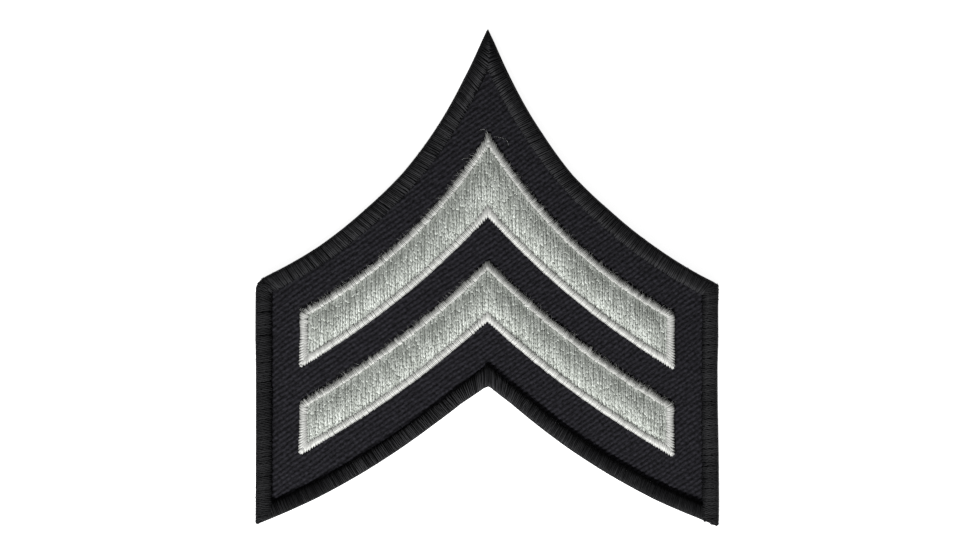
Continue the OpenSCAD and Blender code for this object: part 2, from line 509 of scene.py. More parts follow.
@dataclass(frozen=True)
class Thread:
    """A sewing thread of twisted plies, in millimetres."""

    plies: int = 2
    ply_r: float = 0.14
    flat: float = 1.0
    spread: float = 0.1
    stack: float = 0.05
    twist: float = 3.0
    roll: float = 2 * math.pi
    waver: float = 0.0
    waver_length: float = 2.2
    swell: float = 0.06
    around: int = 6
    end_taper: float = 0.55
    start_taper: tuple[float, ...] = ()

    @property
    def sink(self) -> float:
        """How far the thread's middle lies under its surface."""
        return self.ply_r * self.flat + self.stack

    def lay(self, draft: MeshDraft, paths: Array, side: Array, rng: np.random.Generator,
            tone: Array | None = None, scale: Array | None = None) -> None:
        """Sweeps the plies along paths on the surface and adds them to a draft.

        Args:
            draft: The mesh that takes the thread.
            paths: Surface points for each stitch, as stitches by points by three.
            side: Level directions across the stitches, to the left of their way.
            rng: Source of the stitches' differences.
            tone: How light each stitch is, or each ring of it, or None for an even spread.
            scale: How thick each stitch is, as a share of the thread, or None for all of it.
        """
        stitches, rings = paths.shape[:2]
        along = unit(np.gradient(paths, axis=1))
        side = np.broadcast_to(side, paths.shape)
        out = unit(np.cross(along, side))
        steps = np.linalg.norm(np.diff(paths, axis=1), axis=-1)
        run = np.concatenate([np.zeros((stitches, 1)), np.cumsum(steps, axis=1)], axis=1)
        phase = rng.uniform(-self.roll / 2, self.roll / 2, (stitches, 1))
        sway = self.waver * np.sin(2 * math.pi * run / self.waver_length
                                   + rng.uniform(0, 2 * math.pi, (stitches, 1)))
        scale = np.ones((stitches, 1)) if scale is None else scale[:, None]
        size = scale * (1 + self.swell * rng.standard_normal((stitches, 1))) * np.ones((1, rings))
        size[:, [0, -1]] *= self.end_taper
        size[:, :len(self.start_taper)] *= np.array(self.start_taper)
        tone = rng.uniform(0, 1, stitches) if tone is None else tone
        tone = tone if tone.ndim == 2 else tone[:, None]
        faces = tube_faces(stitches, rings, self.around)
        angle = 2 * math.pi * np.arange(self.around) / self.around
        for ply in range(self.plies):
            turn = phase + 2 * math.pi * (run / self.twist + ply / self.plies)
            beside = scale * (self.spread * np.cos(turn) + sway)
            above = scale * self.stack * np.sin(turn) - self.sink
            middle = paths + side * beside[..., None] + out * above[..., None]
            spoke = (side[:, :, None] * np.cos(angle)[:, None]
                     + out[:, :, None] * (self.flat * np.sin(angle))[:, None])
            points = middle[:, :, None] + spoke * (self.ply_r * size)[:, :, None, None]
            lay = np.stack(np.broadcast_arrays(
                angle[None, None] / (2 * math.pi) + turn[:, :, None] / (2 * math.pi), run[:, :, None],
                np.arange(stitches)[:, None, None] + ply / self.plies), -1)
            tones = np.broadcast_to(tone[..., None], points.shape[:3])
            draft.add(points, faces, lay, tones)


@dataclass(frozen=True)
class StitchBand:
    """A band of stitches that runs round inside an outline, each stitch laid across it."""

    shape: Arrowhead
    width: float
    fan: tuple[float, ...]
    fan_length: float = 3.0
    margin: float = 0.15
    longest: float = 2.2
    tries: int = 90

    def inner_share(self, side: Side, share: Array) -> Array:
        """Finds where stitches end on the band's inner edge.

        Args:
            side: The side that the stitches start from.
            share: Where they start, as shares of the side's length.

        Returns:
            Shares of the inner edge's length, square across but fanned near the corners.
        """
        outer, inner = self.shape.length(side), self.shape.length(side, self.width)
        u = share * outer
        shifts = []
        spread = np.zeros_like(share)
        for end, away in ((0, u), (1, outer - u)):
            number = (side.value + end) % len(Corner)
            shift = self.shape.corner_shift(Corner(number), self.width)
            x = np.clip(away / max(abs(shift) * self.fan_length, 1e-6), 0, 1)
            near = (1 - x) ** 2 * (1 + 2 * x) * shift * self.fan[number]
            spread += near if end == 0 else -near
            shifts.append(shift)
        scale = inner / (outer - shifts[0] - shifts[1])
        return (u - shifts[0] + spread) * scale / inner

    def stations(self, pitch: float, rng: np.random.Generator, jitter: float) -> list[tuple[Side, Array]]:
        """Spaces stitches evenly round the outline.

        Args:
            pitch: Distance between stitches along the outline.
            rng: Source of the small differences.
            jitter: Size of the differences, as a share of the pitch.

        Returns:
            For each side, the shares of its length at which stitches start.
        """
        fine = np.linspace(0, 1, FINE)
        runs = []
        for side in Side:
            rim = self.shape.rim(side, fine)
            steps = np.linalg.norm(np.diff(rim, axis=0), axis=1)
            runs.append(np.concatenate([[0], np.cumsum(steps)]))
        total = sum(run[-1] for run in runs)
        count = round(total / pitch)
        places = (np.arange(count) + 0.5 + jitter * rng.standard_normal(count)) * total / count
        found, start = [], 0.0
        for side, run in zip(Side, runs):
            here = places[(places >= start) & (places < start + run[-1])] - start
            found.append((side, np.interp(here, run, fine)))
            start += run[-1]
        return found

    def feet(self, side: Side, share: Array, lean: Array | float = 0.0) -> tuple[Array, Array]:
        """Finds where stitches start and which way they cross the band.

        Args:
            side: The side that the stitches start from.
            share: Where they start, as shares of the side's length.
            lean: How far their inner ends are moved clockwise, in millimetres.

        Returns:
            The plan points on the outline, and level unit vectors inwards.
        """
        outer = self.shape.rim(side, share)
        inner_share = self.inner_share(side, share) + lean / self.shape.length(side, self.width)
        inner = self.shape.on_side(side, self.width, inner_share)
        return outer, unit(inner - outer)

    def spans(self, side: Side, outer: Array, inwards: Array, width: Array, overlap: Array,
              held: float = math.inf) -> Array:
        """Finds how long stitches are in plan, up to the band's inner edge or a mitred corner.

        Args:
            side: The side that the stitches start from.
            outer: Where they start.
            inwards: Their level directions.
            width: How deep each stitch may reach.
            overlap: How far each stitch may pass the middle of a corner.
            held: How deep a stitch is once it has to end where it meets the next side's outline.

        Returns:
            One length for each stitch.
        """
        steps = np.linspace(0, self.longest * self.width, self.tries)
        places = outer[:, None] + inwards[:, None] * steps[None, :, None]
        own = self.shape.depth_from(side, places)
        nearest = self.shape.depth(places)
        passed = (own >= width[:, None]) | (own - nearest > overlap[:, None])
        passed |= (nearest < self.margin) & (own > held)
        passed[:, 0] = False
        passed[:, -1] = True
        return steps[np.argmax(passed, axis=1)]


@dataclass(frozen=True)
class TwillFinish:
    """Matt black twill cloth with hairy yarns, its rib valleys painted darker as shade."""

    # Colours from the bottom of a rib valley, painted darker as shade, to the top of a ridge
    valley: Colour = (0.0016, 0.0015, 0.0020)
    ridge: Colour = (0.0200, 0.0192, 0.0246)
    roughness: float = 0.8
    specular: float = 0.1
    fibres_per_metre: float = 9000.0
    fibre_share: float = 0.12
    fibre_bump: float = 0.5
    fibre_height: float = 0.02 * MM
    yarns_per_mm: tuple[float, float, float] = (1.9, 4.6, 1.0)
    yarn_share: float = 0.42
    yarn_range: tuple[float, float] = (0.33, 0.67)

    def material(self) -> bpy.types.Material:
        """Builds the node material."""
        sheet = ShaderSheet("black twill")
        place = sheet.add("ShaderNodeTexCoord").outputs["Object"]
        relief = sheet.add("ShaderNodeAttribute", attribute_name="tone").outputs["Fac"]
        fibres = sheet.noise(place, self.fibres_per_metre)
        lay = sheet.add("ShaderNodeAttribute", attribute_name="lay").outputs["Vector"]
        yarns = sheet.spread(sheet.noise(sheet.stretched(lay, self.yarns_per_mm), 1.0), *self.yarn_range)
        # The relief paints the valleys darker than the ridges: painted shade in the creases
        woven = sheet.mix_values(relief, yarns, self.yarn_share)
        colour = sheet.blend(sheet.mix_values(woven, fibres, self.fibre_share), self.valley, self.ridge)
        bump = sheet.bump(fibres, self.fibre_bump, self.fibre_height)
        return sheet.finish(colour, bump, self.roughness, self.specular, 0.0)


@dataclass(frozen=True)
class ThreadFinish:
    """Smooth filament thread with a soft shine, each stitch a little different."""

    name: str
    dark: Colour
    light: Colour
    roughness: float
    specular: float
    silk: float = 0.0
    filament_share: float = 0.5
    filament_bump: float = 0.35
    filament_height: float = 0.03 * MM
    filaments: tuple[float, float, float] = (9.0, 1.6, 7.3)

    def material(self) -> bpy.types.Material:
        """Builds the node material."""
        sheet = ShaderSheet(self.name)
        lay = sheet.add("ShaderNodeAttribute", attribute_name="lay").outputs["Vector"]
        tone = sheet.add("ShaderNodeAttribute", attribute_name="tone").outputs["Fac"]
        filaments = sheet.noise(sheet.stretched(lay, self.filaments), 1.0)
        shade = sheet.mix_values(tone, filaments, self.filament_share)
        colour = sheet.blend(shade, self.dark, self.light)
        bump = sheet.bump(filaments, self.filament_bump, self.filament_height)
        return sheet.finish(colour, bump, self.roughness, self.specular, self.silk)


class ShaderSheet:
    """A node material that is filled in step by step."""

    # Where the two colours of a blend stand on its ramp
    STOPS = (0.2, 0.8)

    def __init__(self, name: str) -> None:
        """Starts a material of that name with no nodes."""
        self.material = bpy.data.materials.new(name)
        self.material.use_nodes = True
        self.tree = self.material.node_tree
        self.tree.nodes.clear()

    def add(self, kind: str, inputs: dict[str | int, object] | None = None,
            **settings: object) -> bpy.types.Node:
        """Adds a node.

        Args:
            kind: Its type.
            inputs: Plain values for its inputs, or outputs of other nodes that are joined to them.
            settings: Values for its properties.

        Returns:
            The new node.
        """
        node = self.tree.nodes.new(kind)
        for key, value in settings.items():
            setattr(node, key, value)
        for key, value in (inputs or {}).items():
            if isinstance(value, bpy.types.NodeSocket):
                self.tree.links.new(value, node.inputs[key])
            else:
                node.inputs[key].default_value = value
        return node

    def noise(self, place: bpy.types.NodeSocket, scale: float) -> bpy.types.NodeSocket:
        """Adds a noise texture and returns its value."""
        return self.add("ShaderNodeTexNoise", {"Vector": place, "Scale": scale, "Detail": 2.0}).outputs["Fac"]

    def stretched(self, place: bpy.types.NodeSocket, by: tuple[float, ...]) -> bpy.types.NodeSocket:
        """Multiplies a place by three factors and returns it."""
        return self.add("ShaderNodeVectorMath", {0: place, 1: by}, operation="MULTIPLY").outputs[0]

    def spread(self, value: bpy.types.NodeSocket, low: float, high: float) -> bpy.types.NodeSocket:
        """Spreads the values between low and high over 0 to 1."""
        inputs = {"Value": value, "From Min": low, "From Max": high}
        return self.add("ShaderNodeMapRange", inputs).outputs["Result"]

    def mix_values(self, a: bpy.types.NodeSocket, b: bpy.types.NodeSocket,
                   share: float) -> bpy.types.NodeSocket:
        """Mixes two values, with that share of the second."""
        inputs = {"Factor": share, "A": a, "B": b}
        return self.add("ShaderNodeMix", inputs, data_type="FLOAT").outputs["Result"]

    def blend(self, share: bpy.types.NodeSocket, a: Colour, b: Colour) -> bpy.types.NodeSocket:
        """Blends two colours by a value and returns the colour.

        Args:
            share: The value, from 0 to 1.
            a: The colour for low values.
            b: The colour for high ones.

        Returns:
            The blended colour.
        """
        ramp = self.add("ShaderNodeValToRGB", {"Fac": share})
        for stop, place, colour in zip(ramp.color_ramp.elements, self.STOPS, (a, b)):
            stop.position = place
            stop.color = (*colour, 1)
        return ramp.outputs["Color"]

    def bump(self, height: bpy.types.NodeSocket, strength: float,
             distance: float) -> bpy.types.NodeSocket:
        """Adds a bump from a height value and returns the bent normal."""
        inputs = {"Height": height, "Strength": strength, "Distance": distance}
        return self.add("ShaderNodeBump", inputs).outputs["Normal"]

    def finish(self, colour: bpy.types.NodeSocket, normal: bpy.types.NodeSocket, roughness: float,
               specular: float, silk: float) -> bpy.types.Material:
        """Adds the surface shader and the output.

        Args:
            colour: The surface's colour.
            normal: Its bent normal.
            roughness: Its roughness, the same all over.
            specular: Strength of its mirror reflection.
            silk: Share of the light that it throws back along the threads, as rayon does.

        Returns:
            The finished material.
        """
        shader = self.add("ShaderNodeBsdfPrincipled", {
            "Base Color": colour, "Normal": normal, "Roughness": roughness,
            "Specular IOR Level": specular, "Metallic": silk})
        self.add("ShaderNodeOutputMaterial", {"Surface": shader.outputs["BSDF"]})
        return self.material


def dress(piece: bpy.types.Object, node: str, material: bpy.types.Material) -> None:
    """Gives a piece its finish and its place in the frame.

    Args:
        piece: The finished piece.
        node: The solid that it stands for.
        material: Its finish.
    """
    piece.data.materials.append(material)
    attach(piece, BODY)
    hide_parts(node)


@dataclass(frozen=True)
class TwillGround:
    """The ground cloth, with real ribs where it shows."""

    plan: PatchPlan
    whole: Arrowhead
    bars: tuple[Arrowhead, Arrowhead]
    lift: Array
    finish: TwillFinish = TwillFinish()
    rib_pitch: float = 0.75
    rib_turn: float = math.radians(35)
    rib_depth: float = 0.24
    cells_per_rib: int = 5
    along_step: float = 0.193
    float_length: float = 0.72
    notch: float = 0.62

    # Floats of one rib differ from the next rib's in length, and among themselves in fullness and place
    stretch_range: tuple[float, float] = (0.75, 1.35)
    fullness: tuple[float, float] = (0.6, 1.12)
    slide: float = 0.1
    mean_relief: float = 0.75

    # Waves of the ribs: how far, over what length, and how they lag from rib to rib and start
    sways: tuple[tuple[float, float, float, float], ...] = ((0.07, 2.9, 0.35, 0.0), (0.05, 1.3, -0.8, 1.0))
    creep: tuple[float, float, float] = (0.3, 3.1, 9.0)
    slope: float = 0.1
    rib_power: float = 1.1
    float_power: float = 0.5
    back_lift: float = 0.01
    back_relief: float = 0.05

    # Coarser cells will do this far under a bar or under the border, and the back clears its hem
    hidden_by_bar: float = 0.35
    hidden_by_border: float = 0.4
    hem: float = 0.2
    block: tuple[int, int] = (4, 2)

    # Places along each side by which the cloth's extent is found, and by which its cut is measured
    extent_places: int = 50
    cut_places: int = 200
    seed: int = 11

    @property
    def rim(self) -> float:
        """How far inside the patch's outline the cloth is cut."""
        return self.plan.border_w - self.plan.rim_hold + self.plan.clearance

    def heights(self, u: Array, v: Array, rng: np.random.Generator) -> Array:
        """Returns the cloth's relief at places along (u) and across (v) the ribs, from 0 to 1.

        Args:
            u: Distances along the ribs.
            v: Distances across them.
            rng: Source of the floats' differences.

        Returns:
            The relief at each place, from 0 in a valley to about 1 on a float.
        """
        sway = sum(far * np.sin(u / wave + lag * v + start) for far, wave, lag, start in self.sways)
        row = (v + sway) / self.rib_pitch
        number = np.floor(row).astype(int)
        number -= number.min()
        rows = number.max() + 1
        shift = rng.uniform(0, 1, rows)[number]
        stretch = rng.uniform(*self.stretch_range, rows)[number]
        far, wave, lag = self.creep
        place = u / (self.float_length * stretch) + shift + far * np.sin(u / wave + lag * shift)
        tile = np.floor(place).astype(int)
        q = place - tile
        tile -= tile.min()
        size = (rows, tile.max() + 1)
        full = rng.uniform(*self.fullness, size)[number, tile]
        slide = rng.uniform(-self.slide, self.slide, size)[number, tile]
        across = row - np.floor(row) - 0.5 + self.slope * (q - 0.5) + slide
        rib = np.clip(np.cos(math.pi * np.clip(across, -0.5, 0.5)), 0, 1) ** self.rib_power
        swell = np.clip(np.sin(math.pi * q), 0, 1) ** self.float_power
        return full * rib * (1 - self.notch + self.notch * swell)

    def build(self) -> bpy.types.Object:
        """Makes the cloth as one closed sheet and returns it."""
        rng = np.random.default_rng(self.seed)
        step = np.array([self.along_step, self.rib_pitch / self.cells_per_rib])
        turn = np.array([[math.cos(self.rib_turn), math.sin(self.rib_turn)],
                         [-math.sin(self.rib_turn), math.cos(self.rib_turn)]])
        share = np.linspace(0, 1, self.extent_places)
        sides = np.concatenate([self.whole.rim(s, share) for s in Side]) @ turn.T
        block = np.array(self.block)
        low = np.floor(sides.min(0) / (step * block)).astype(int) - 1
        high = np.ceil(sides.max(0) / (step * block)).astype(int) + 1
        cells = (high - low) * block
        iu = np.arange(cells[0] + 1) + low[0] * block[0]
        iv = np.arange(cells[1] + 1) + low[1] * block[1]
        u, v = np.meshgrid(iu * step[0], iv * step[1], indexing="ij")
        plan = np.stack([u, v], -1) @ turn
        depth = self.whole.depth(plan)
        under_bar = np.maximum(*(bar.depth(plan) for bar in self.bars)) > self.hidden_by_bar
        kept = self.whole_cells(depth > self.rim)
        shown = ~self.whole_cells(under_bar | (depth < self.plan.border_w - self.hidden_by_border))
        relief = self.heights(u, v, rng)
        top = self.plan.ground_t + self.rib_depth * (relief - self.mean_relief)
        hem = np.clip((self.plan.border_w + self.hem / 2 - depth) / self.hem, 0, 1)
        lowest = self.plan.under_t + self.plan.clearance
        back = self.back_lift + self.back_relief * (1 - relief) + lowest * hem
        draft = MeshDraft()
        number = np.arange(u.size).reshape(u.shape)
        faces = [*self.tiles(number, kept, shown & kept, False),
                 *self.tiles(number + u.size, kept, np.zeros_like(kept), True),
                 *self.walls(number, kept, u.size)]
        points = np.concatenate([np.dstack([plan, z]).reshape(-1, 3) for z in (top, back)])
        used = np.zeros(len(points), bool)
        for group in faces:
            used[group] = True
        renumber = np.cumsum(used) - 1
        # The relief goes on as tone, which the finish turns into painted shade in the rib valleys
        tone = np.tile(relief.ravel(), 2)[used]
        lay = np.concatenate([np.dstack([u, v, np.zeros_like(u)]).reshape(-1, 3)] * 2)[used]
        draft.add(points[used], [renumber[group] for group in faces], lay, tone)
        return draft.build("twill_ground_cloth", self.lift)

    @staticmethod
    def whole_cells(flags: Array) -> Array:
        """Returns which cells of a lattice have all four of their corners flagged."""
        return flags[:-1, :-1] & flags[1:, :-1] & flags[:-1, 1:] & flags[1:, 1:]

    def tiles(self, number: Array, kept: Array, fine: Array, flip: bool) -> list[Array]:
        """Covers the kept cells with faces, coarse where no fine cell is asked for.

        Args:
            number: The lattice's point numbers.
            kept: The cells that the cloth covers.
            fine: The cells that need their own face.
            flip: Whether the faces look down.

        Returns:
            Arrays of faces, one array for each number of corners.
        """
        bu, bv = self.block
        nu, nv = kept.shape[0] // bu, kept.shape[1] // bv
        whole = kept.reshape(nu, bu, nv, bv).all(axis=(1, 3))
        asked = fine.reshape(nu, bu, nv, bv).any(axis=(1, 3))
        coarse = np.pad(whole & ~asked, 1)
        single = kept & ~np.repeat(np.repeat(coarse[1:-1, 1:-1], bu, 0), bv, 1)
        i, j = np.nonzero(single)
        small = np.stack([number[i, j], number[i + 1, j], number[i + 1, j + 1], number[i, j + 1]], 1)
        groups: dict[int, list[list[int]]] = {}
        for a, b in zip(*np.nonzero(coarse[1:-1, 1:-1])):
            i0, j0 = a * bu, b * bv
            walk = [(i0 + k, j0) for k in range(bu)] + [(i0 + bu, j0 + k) for k in range(bv)]
            walk += [(i0 + bu - k, j0 + bv) for k in range(bu)] + [(i0, j0 + bv - k) for k in range(bv)]
            open_side = ([not coarse[a + 1, b]] * bu + [not coarse[a + 2, b + 1]] * bv
                         + [not coarse[a + 1, b + 2]] * bu + [not coarse[a, b + 1]] * bv)
            corner = {0, bu, bu + bv, 2 * bu + bv}
            face = [int(number[p]) for n, p in enumerate(walk) if n in corner or open_side[n]]
            groups.setdefault(len(face), []).append(face)
        faces = [small] + [np.array(group) for group in groups.values()]
        return [group[:, ::-1] for group in faces] if flip else faces

    @staticmethod
    def walls(number: Array, kept: Array, below: int) -> list[Array]:
        """Joins the cloth's face to its back round the cut edge.

        Args:
            number: The point numbers of the face.
            kept: The cells that the cloth covers.
            below: What a point's number grows by from the face to the back.

        Returns:
            One array of quads.
        """
        padded = np.pad(kept, 1)
        middle = padded[1:-1, 1:-1]
        quads = []
        for du, dv, a, b in ((-1, 0, (0, 1), (0, 0)), (1, 0, (1, 0), (1, 1)),
                             (0, -1, (0, 0), (1, 0)), (0, 1, (1, 1), (0, 1))):
            beside = padded[1 + du:padded.shape[0] - 1 + du, 1 + dv:padded.shape[1] - 1 + dv]
            i, j = np.nonzero(middle & ~beside)
            p, q = number[i + a[0], j + a[1]], number[i + b[0], j + b[1]]
            quads.append(np.stack([q, p, p + below, q + below], 1))
        return [np.concatenate(quads)]

    def declare(self, piece: bpy.types.Object) -> None:
        """Works out the area inside the cloth's cut, which is not used further.

        Args:
            piece: The cloth; not used.
        """
        share = np.linspace(0, 1, self.cut_places)
        cut = np.concatenate([self.whole.on_side(s, self.rim, share) for s in Side])
        x, y = cut[:, 0], cut[:, 1]
        area = abs(np.dot(x, np.roll(y, 1)) - np.dot(y, np.roll(x, 1))) / 2


@dataclass(frozen=True)
class WrapStitch:
    """How the border's threads lie on one kind of side, in millimetres.

    Wider is added to the border's width, and raised to its height. Crest moves the highest place
    outwards where it is below 1, passing is how far threads pass the middle of a corner, and
    lightness is the share of the tone range that they keep, set for each kind of side as painted
    shade: the level threads of the uprights, which catch the light, are kept darkest.
    """

    thread: Thread
    wider: float
    crest: float
    passing: float
    painted_lightness: float
    raised: float = 0.0


@dataclass(frozen=True)
class UpperHalf:
    """What sets the threads of one half of the upper edge apart, beside the peak most of all.

    Lean is how far their inner ends are moved back against the clock, and dip how far down they run
    at the peak for each millimetre across. Rim and taper draw the outline in there, and fade darkens
    them there as painted shade. Contrast goes from thread to thread and mottle from ring to ring.
    Shine paints a highlight on the inner flank and fork_shine one on the place where the two sides
    part, and shade paints shade on the outer flank.
    """

    lean: float
    dip: float
    rim: float
    taper: float
    fade: float
    contrast: float
    mottle: float
    shine: tuple[float, float]
    fork_shine: float
    shade: float


@dataclass(frozen=True)
class BaseHalf:
    """What sets the threads of one half of the base apart.

    They are as light as notch_painted_sheen beside the notch and as tip_painted_shading at the tip, a painted
    sheen that is brightest by the notch, differ by contrast from thread to thread and by mottle from ring to
    ring, and are as thick as thin says.
    """

    notch_painted_sheen: float
    tip_painted_shading: float
    contrast: float
    mottle: float
    thin: float


@dataclass
class BorderRow:
    """The threads along one side of the border, each with its own place, way, tone and thickness."""

    side: Side
    away: Array
    outer: Array
    inwards: Array
    stray: Array
    tone: Array
    proud: Array
    passing: Array
    near: Array
    scale: Array


class Rings:
    """Parts of a border thread, as rings counted from its inner end. The outline is at ring 6."""

    INNER_END = slice(0, 3)
    INNER_FLANK = slice(1, 3)
    OUTER_FLANK = slice(3, 6)
    OUTLINE = slice(4, 7)
    SHOULDER = 4
    OUTSIDE = slice(5, None)


@dataclass(frozen=True)
class OverlockBorder:
    """The thick border: threads wrapped side by side round the cut edge over a padded core."""

    plan: PatchPlan
    whole: Arrowhead
    lift: Array
    finish: ThreadFinish = ThreadFinish(
        "black border thread", (0.0018, 0.0018, 0.0022), (0.0285, 0.0285, 0.0305), 0.55, 0.08)
    stitches: tuple[WrapStitch, ...] = (
        WrapStitch(Thread(plies=1, ply_r=0.15, spread=0.0, stack=0.02, around=5, waver=0.02,
                          waver_length=1.6, swell=0.12),
                   wider=0.26, crest=0.84, passing=0.3, painted_lightness=0.95),
        WrapStitch(Thread(plies=3, ply_r=0.16, flat=0.6, spread=0.21, stack=0.03, twist=3.4, around=5,
                          waver=0.02),
                   wider=0.12, crest=0.9, passing=2.0, painted_lightness=0.58, raised=0.05),
        WrapStitch(Thread(plies=1, ply_r=0.13, spread=0.0, stack=0.02, around=5, waver=0.03,
                          waver_length=1.6, swell=0.14),
                   wider=0.02, crest=0.8, passing=0.0, painted_lightness=0.8))
    uppers: tuple[UpperHalf, UpperHalf] = (
        UpperHalf(lean=1.25, dip=0.4, rim=0.16, taper=0.21, fade=0.4, contrast=0.4, mottle=0.4,
                  shine=(1.6, 0.35), fork_shine=0.8, shade=1.0),
        UpperHalf(lean=0.0, dip=0.0, rim=0.36, taper=0.38, fade=0.6, contrast=0.0, mottle=0.3,
                  shine=(2.1, 0.1), fork_shine=0.4, shade=0.74))
    bases: tuple[BaseHalf, BaseHalf] = (
        BaseHalf(notch_painted_sheen=2.8, tip_painted_shading=0.45, contrast=0.5, mottle=0.5, thin=0.82),
        BaseHalf(notch_painted_sheen=1.5, tip_painted_shading=0.4, contrast=0.1, mottle=0.7, thin=0.95))

    # How fully the threads fan out at each corner, clockwise from the peak
    fan: tuple[float, ...] = (0.35, 0.6, 0.1, 1.0, 0.1, 0.6)
    pitch: float = 0.555
    jitter: float = 0.06
    unevenness: float = 0.06
    lean: float = 0.25
    lean_reach: float = 26.0
    proud: float = 0.06
    proud_spread: float = 0.03
    tone_range: tuple[float, float] = (0.2, 0.8)
    squareness: tuple[float, ...] = (3.3, 3.6, 3.0, 3.0, 3.6, 3.6)
    held: float = 0.4
    passing_spread: float = 0.2
    dive: float = 0.2
    dive_spread: float = 0.1
    follow: float = 0.5

    # How far in the real edge wanders, for each side, at these distances from the axis or from the top
    wander_at: tuple[float, ...] = (0.0, 4.0, 9.0, 14.0, 20.0, 28.0, 35.0)
    wander: tuple[tuple[float, ...], ...] = (
        (0.1, 0.0, 0.02, 0.25, -0.06, -0.05, 0.05),
        (-0.03, 0.05, 0.0, 0.1, 0.03, -0.17, -0.27),
        (-0.07, 0.15, 0.0, -0.13, -0.18, -0.17, 0.1),
        (-0.25, 0.26, 0.27, 0.14, 0.0, -0.14, -0.11),
        (-0.15, -0.17, -0.16, -0.04, 0.0, 0.04, 0.04),
        (-0.18, -0.33, -0.14, 0.02, -0.13, 0.0, -0.1))

    # The peak: where its threads start, how they gather to it, where the two sides meet in a fork, and the
    # painted shade and highlights on its threads
    peak_gap: float = 0.75
    peak_reach: float = 8.0
    peak_squareness: float = 1.9
    peak_crest: float = 1.15
    askew: float = 0.28
    passing_from: float = 1.0
    passing_reach: float = 2.0
    tip_scale: float = 0.3
    tip_scale_reach: float = 3.0
    peak_thin: float = 0.2
    tip_rim: float = 0.15
    tip_rim_reach: float = 0.9
    painted_peak_shade_reach: float = 7.0
    peak_mottle: float = 0.9
    painted_peak_dimming: float = 0.6
    painted_rim_shade: float = 0.2
    fork_at: float = 9.0
    fork_reach: float = 6.0
    glint: float = 0.9
    glint_at: float = 6.5
    glint_reach: float = 1.8

    # The base: where its painted sheen starts to change, over what length, and the painted highlight and
    # shade on its outer rings
    notch_half_w: float = 8.0
    base_fade: float = 20.0
    painted_base_rim_shading: tuple[float, float, float] = (1.12, 1.4, 0.5)

    # Thread over the crown, round the cut edge and back under the cloth
    crown_rings: int = 7
    under_turns: tuple[float, ...] = (32.0, 62.0, 90.0)
    under_reach: tuple[float, float] = (1.5, 2.3)
    under_least: float = 0.5
    dive_power: int = 12

    # The padded core under the threads, and how its outline comes to a point at the peak
    core_points: int = 8
    core_squareness: float = 2.8
    core_sink: float = 0.27
    core_step: float = 0.9
    core_least: float = 0.02
    core_proud: float = 0.09
    core_middle: float = 0.445
    core_half_w: float = 0.49
    core_foot: tuple[tuple[float, float], ...] = ((0.01, 0.6), (0.2, 0.27), (0.9, 0.27), (0.93, 0.6))
    rim_shift: float = 0.2
    rim_reach: float = 4.5
    rim_least: float = 0.1
    point: float = 0.3
    point_reach: float = 0.3
    taper_reach: float = 0.66
    taper_least: float = 0.37
    seed: int = 23

    def crown_height(self, depth: Array, side: Side, near: Array) -> Array:
        """Finds the height of the border's surface.

        Args:
            depth: Depths in from the outline.
            side: The side that the stitches lie on.
            near: How near to the peak each stitch is, from 0 to 1.

        Returns:
            One height for each depth.
        """
        power, crest = self.squareness[side.value], self.stitches[side.kind.value].crest
        power = power + (self.peak_squareness - power) * near[:, None]
        crest = crest + (self.peak_crest - crest) * near[:, None]
        x = np.clip(2 * (depth / self.plan.border_w) ** crest - 1, -1, 1)
        rise = (1 - np.abs(x) ** power) ** (1 / power)
        return self.plan.seat + (self.plan.border_h - self.plan.seat) * rise

    def strays(self, side: Side, places: Array) -> Array:
        """Returns how far in from its true line the real edge wanders, at places on a side."""
        away = -places[:, 1] if side.upright else np.abs(places[:, 0])
        return np.interp(away, self.wander_at, self.wander[side.value])

    def section(self, outer: Array, inwards: Array, span: Array, side: Side, drop: Array,
                near: Array) -> Array:
        """Lays paths from the inner edge over the crown and round the cut edge to the back.

        Args:
            outer: Where the stitches cross the outline.
            inwards: Their level directions.
            span: How far in each one reaches on the face.
            side: The side that they lie on.
            drop: How far each one dives at its inner end.
            near: How near to the peak each one is, from 0 to 1.

        Returns:
            Stitches by points by three.
        """
        plan, stitch = self.plan, self.stitches[side.kind.value]
        swing = np.linspace(0, math.pi, self.crown_rings)
        share = (1 + np.cos(swing)) / 2
        places = outer[:, None] + inwards[:, None] * (span[:, None] * share)[..., None]
        width = plan.border_w + stitch.wider + self.proud
        depth = self.whole.depth(places) - self.strays(side, outer)[:, None] + self.proud
        depth *= plan.border_w / width
        depth = np.clip(depth, 0, plan.border_w)
        height = self.crown_height(depth, side, near) + stitch.raised
        height -= drop[:, None] * share ** self.dive_power
        crown = np.dstack([places, height])
        turn = np.radians(self.under_turns)
        in_by = np.concatenate([plan.under_turn * (1 - np.cos(turn)), self.under_reach])
        level = np.concatenate([plan.seat * (1 - np.sin(turn)), [0.0, 0.0]])
        in_by = np.minimum(in_by[None], np.maximum(span, self.under_least)[:, None])
        below = outer[:, None] + inwards[:, None] * in_by[..., None]
        under = np.dstack([below, np.broadcast_to(level, in_by.shape)])
        return np.concatenate([crown, under], axis=1)

